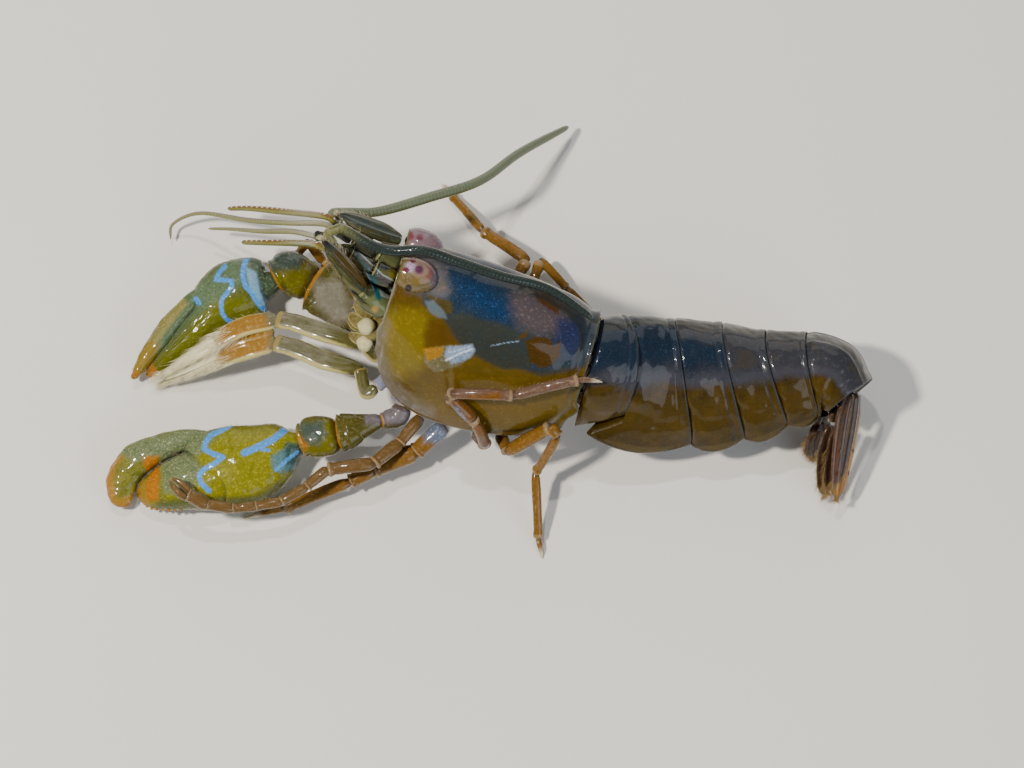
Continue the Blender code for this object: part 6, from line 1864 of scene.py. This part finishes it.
feelerHairs = []
for side, way in (("left", 1), ("right", -1)):
    # the antennule: three stalk lengths that carry two whips
    ahead, across, up = feelers["antennuleRoot"]
    root, tip = np.array([ahead, way * across, up]), np.array(feelers["antennuleTip"][side])
    path = body.line(root + np.multiply.outer(feelers["antennuleShares"], tip - root))
    halves = np.array(feelers["antennuleHalves"]) * 0.98
    forward = unit(path[-1] - path[0])
    parts = []
    for low in (0, 2, 4):
        part, grid = articlePart(
            path[low : low + 2], halves[low : low + 2], body.dorsal, 48, 40, 2.2, neck=0.84, cuff=0.08, tuck=0.2,
            relief=shellRelief(180 + low, 0.04, 0.015),
        )
        setMarks([part], **{"dark" if low else "green": 0.2})
        parts.append(part)
        feelerHairs += scatter(grid, 16, (36, 46), (0, 40), (0.4, 0.9), (1.2, 2.2), 0.012)
    steps = np.array([(0.2, 0.75, 0.0), (1.2, 0.98, 0.15), (2.7, 0.8, 0.45)])
    spine = body.line(root + steps * (1, way, 1))
    parts.append(leafPart(spine, (0.5, 0.42, 0.06), 0.2, body.dorsal, 40, 24, 1)[0])
    stalkPiece("antennule_stalk", parts, side, "antennule")
    face = path[-1] + forward * feelers["clearance"]
    apart = body.left * feelers["spread"] * way
    for name, foot, points, radii, tint in (
        ("outer", face + apart, feelers["thick"][side], feelers["thickRadii"], "tan"),
        ("inner", face - apart, feelers["thin"][side], feelers["thinRadii"], "pale"),
    ):
        line = [foot - forward * 0.45, foot + forward * feelers["stub"], *points]
        whip = whipPart(line, radii, tint, dots=name == "outer")
        node = f"antennule_{name}_whip_{side}"
        newPiece(f"antennule_{name}_feeler_{side}", [whip], feelerFinish, (node,))
    # the antenna: a swollen base, a stick, a pointed scale and the long whip
    root, knee, tip, scaleTip = np.array(feelers["antenna"][side])
    path = body.line([root, (root + knee) / 2, knee, knee * 0.4 + tip * 0.6, tip])
    halves = np.array(feelers["antennaHalves"])
    parts = []
    for low in (0, 2):
        part, grid = articlePart(
            path[low : low + 3], halves[low : low + 3], body.dorsal, 60, 44, 2.1, neck=0.8, cuff=0.08, tuck=0.25,
            relief=shellRelief(190 + low, 0.05, 0.02), start=None if low else body.forward,
        )
        setMarks([part], **{"dark" if low else "green": 0.3})
        parts.append(part)
    outside, along = body.left * way, unit(path[2] - path[1])
    spine = [
        path[1] + outside * 0.8, path[1] + outside * 1.05 + along * 0.8, path[2] + outside * 0.7 + along * 0.6,
    ]
    parts.append(leafPart(spine, (0.4, 0.3, 0.05), 0.22, body.dorsal, 34, 22, 1)[0])
    stalkPiece("antenna_stalk", parts, side, "antenna_base")
    foot = knee + np.array(feelers["scaleFoot"][side]) * (1, way, 1)
    line = body.line(foot + np.multiply.outer((0.0, 0.3, 0.65, 1.0, 1.04), scaleTip - foot))
    blade, grid = leafPart(
        line[:4], feelers["scaleHalves"][side], 0.3, body.dorsal, 70, 44, 3,
        lambda grid: {"tip": (np.linspace(0, 1, len(grid))[:, None] - 0.86) * 4},
    )
    spine = [grid[30, 0], grid[52, 0] + outside * 0.12, line[4]]
    thorn, _ = leafPart(spine, (0.16, 0.15, 0.04), 0.14, body.dorsal, 30, 16, 0)
    stalkPiece("antenna_blade", [blade, thorn], side, "antenna_scale")
    feelerHairs += fringe(grid, 34, 1, 0.7, 0.013)
    stick = unit(path[-1] - path[-2])
    begin = path[-1] + stick * feelers["clearance"]
    points = body.line(feelers["whipLeft"]) if way > 0 else feelers["whipRight"]
    line = [begin - stick * 0.45, begin + stick * feelers["stub"], *points]
    whip = whipPart(line, feelers["whipRadii"], "olive", slate=3.2 if way > 0 else None)
    newPiece(f"antenna_long_whip_{side}", [whip], feelerFinish, (f"antenna_whip_{side}",))
newPiece("face_plate", [facePlate()], stalkFinish)
ends = [
    domePart(fromPhoto(place, high), radius * np.array((1.0, 0.85, 0.8)), body.ways(), 24, 28, {"tip": 0.5},
             lambda grid: 0.06 * ripple(grid, 0.5, 210))
    for place, high, radius in muzzle["ends"]
]
newPiece("stalk_ends", ends, stalkFinish)
newPiece("feeler_setae", feelerHairs, hairFinish, uvName="OFBake")
print("underside and feelers made")


def paleFloor():
    # A plain pale card, flat and far wider than the picture, just under the feet.
    half, under = 900, (0, 0, 0.02)
    corners = np.array([(-1, -1, 0), (1, -1, 0), (1, 1, 0), (-1, 1, 0)]) * half - restSpot - under
    mesh = bpy.data.meshes.new("pale_floor")
    mesh.from_pydata((corners * mm).tolist(), [], [(0, 1, 2, 3)])
    floor = bpy.data.objects.new("pale_floor", mesh)
    bpy.context.scene.collection.objects.link(floor)
    paint = bpy.data.materials.new("matt pale card")
    paint.use_nodes = True
    tree = paint.node_tree
    shader = tree.nodes["Principled BSDF"]
    where = addNode(tree, "ShaderNodeTexCoord").outputs["Object"]
    cloud = addNode(tree, "ShaderNodeTexNoise", None, {"Vector": where}, {"Scale": perMetre(60), "Detail": 2.0})
    pales = {6: linearOf("d9d6cf"), 7: linearOf("e3e1db")}
    mix = addNode(tree, "ShaderNodeMix", {"data_type": "RGBA"}, {"Factor": cloud.outputs["Fac"]}, pales)
    tree.links.new(mix.outputs[2], shader.inputs["Base Color"])
    shader.inputs["Roughness"].default_value = 0.75
    mesh.materials.append(paint)


def softBox(name, place, aim, size, power, tint):
    # A square lamp that faces the animal.
    lamp = bpy.data.lights.new(name, "AREA")
    lamp.shape = "SQUARE"
    lamp.size = size * mm
    lamp.energy = power
    lamp.color = linearOf(tint)[:3]
    made = bpy.data.objects.new(name, lamp)
    made.location = (np.array(place) - restSpot) * mm
    way = unit(np.array(aim, float) - place)
    turn = math.atan2(way[0], -way[1])
    made.rotation_euler = (math.acos(-way[2]), 0, math.pi + turn)
    bpy.context.scene.collection.objects.link(made)


studio = {
    "key": ((-170, -60, 300), (-14, 4, 4), 26, 1.4, "fff6ea"),
    "fill": ((230, -260, 190), (-14, 4, 4), 280, 0.85, "eef4ff"),
    "back": ((40, 330, 170), (-14, 4, 4), 280, 0.4, "fffaf2"),
    "glint": ((-60, 110, 400), (-14, 4, 4), 16, 0.45, "ffffff"),
}


def lightAndCamera():
    # The lamps, a soft room behind them and the camera on its line to the target.
    for name, (place, aim, size, power, tint) in studio.items():
        softBox(name, place, aim, size, power, tint)
    world = bpy.data.worlds.new("soft room")
    world.use_nodes = True
    room = world.node_tree.nodes["Background"]
    room.inputs["Color"].default_value = linearOf("e6ebf2")
    room.inputs["Strength"].default_value = 0.2
    bpy.context.scene.world = world
    camera = bpy.data.cameras.new("camera")
    camera.lens = viewOf["lens"]
    camera.sensor_width = viewOf["sensor"]
    camera.clip_start = 0.01
    made = bpy.data.objects.new("camera", camera)
    made.location = (eyeSpot - restSpot) * mm
    made.rotation_euler = (math.radians(90 - viewOf["elevation"]), 0, 0)
    bpy.context.scene.collection.objects.link(made)
    bpy.context.scene.camera = made


paleFloor()
lightAndCamera()
print("floor, lamps and camera set")
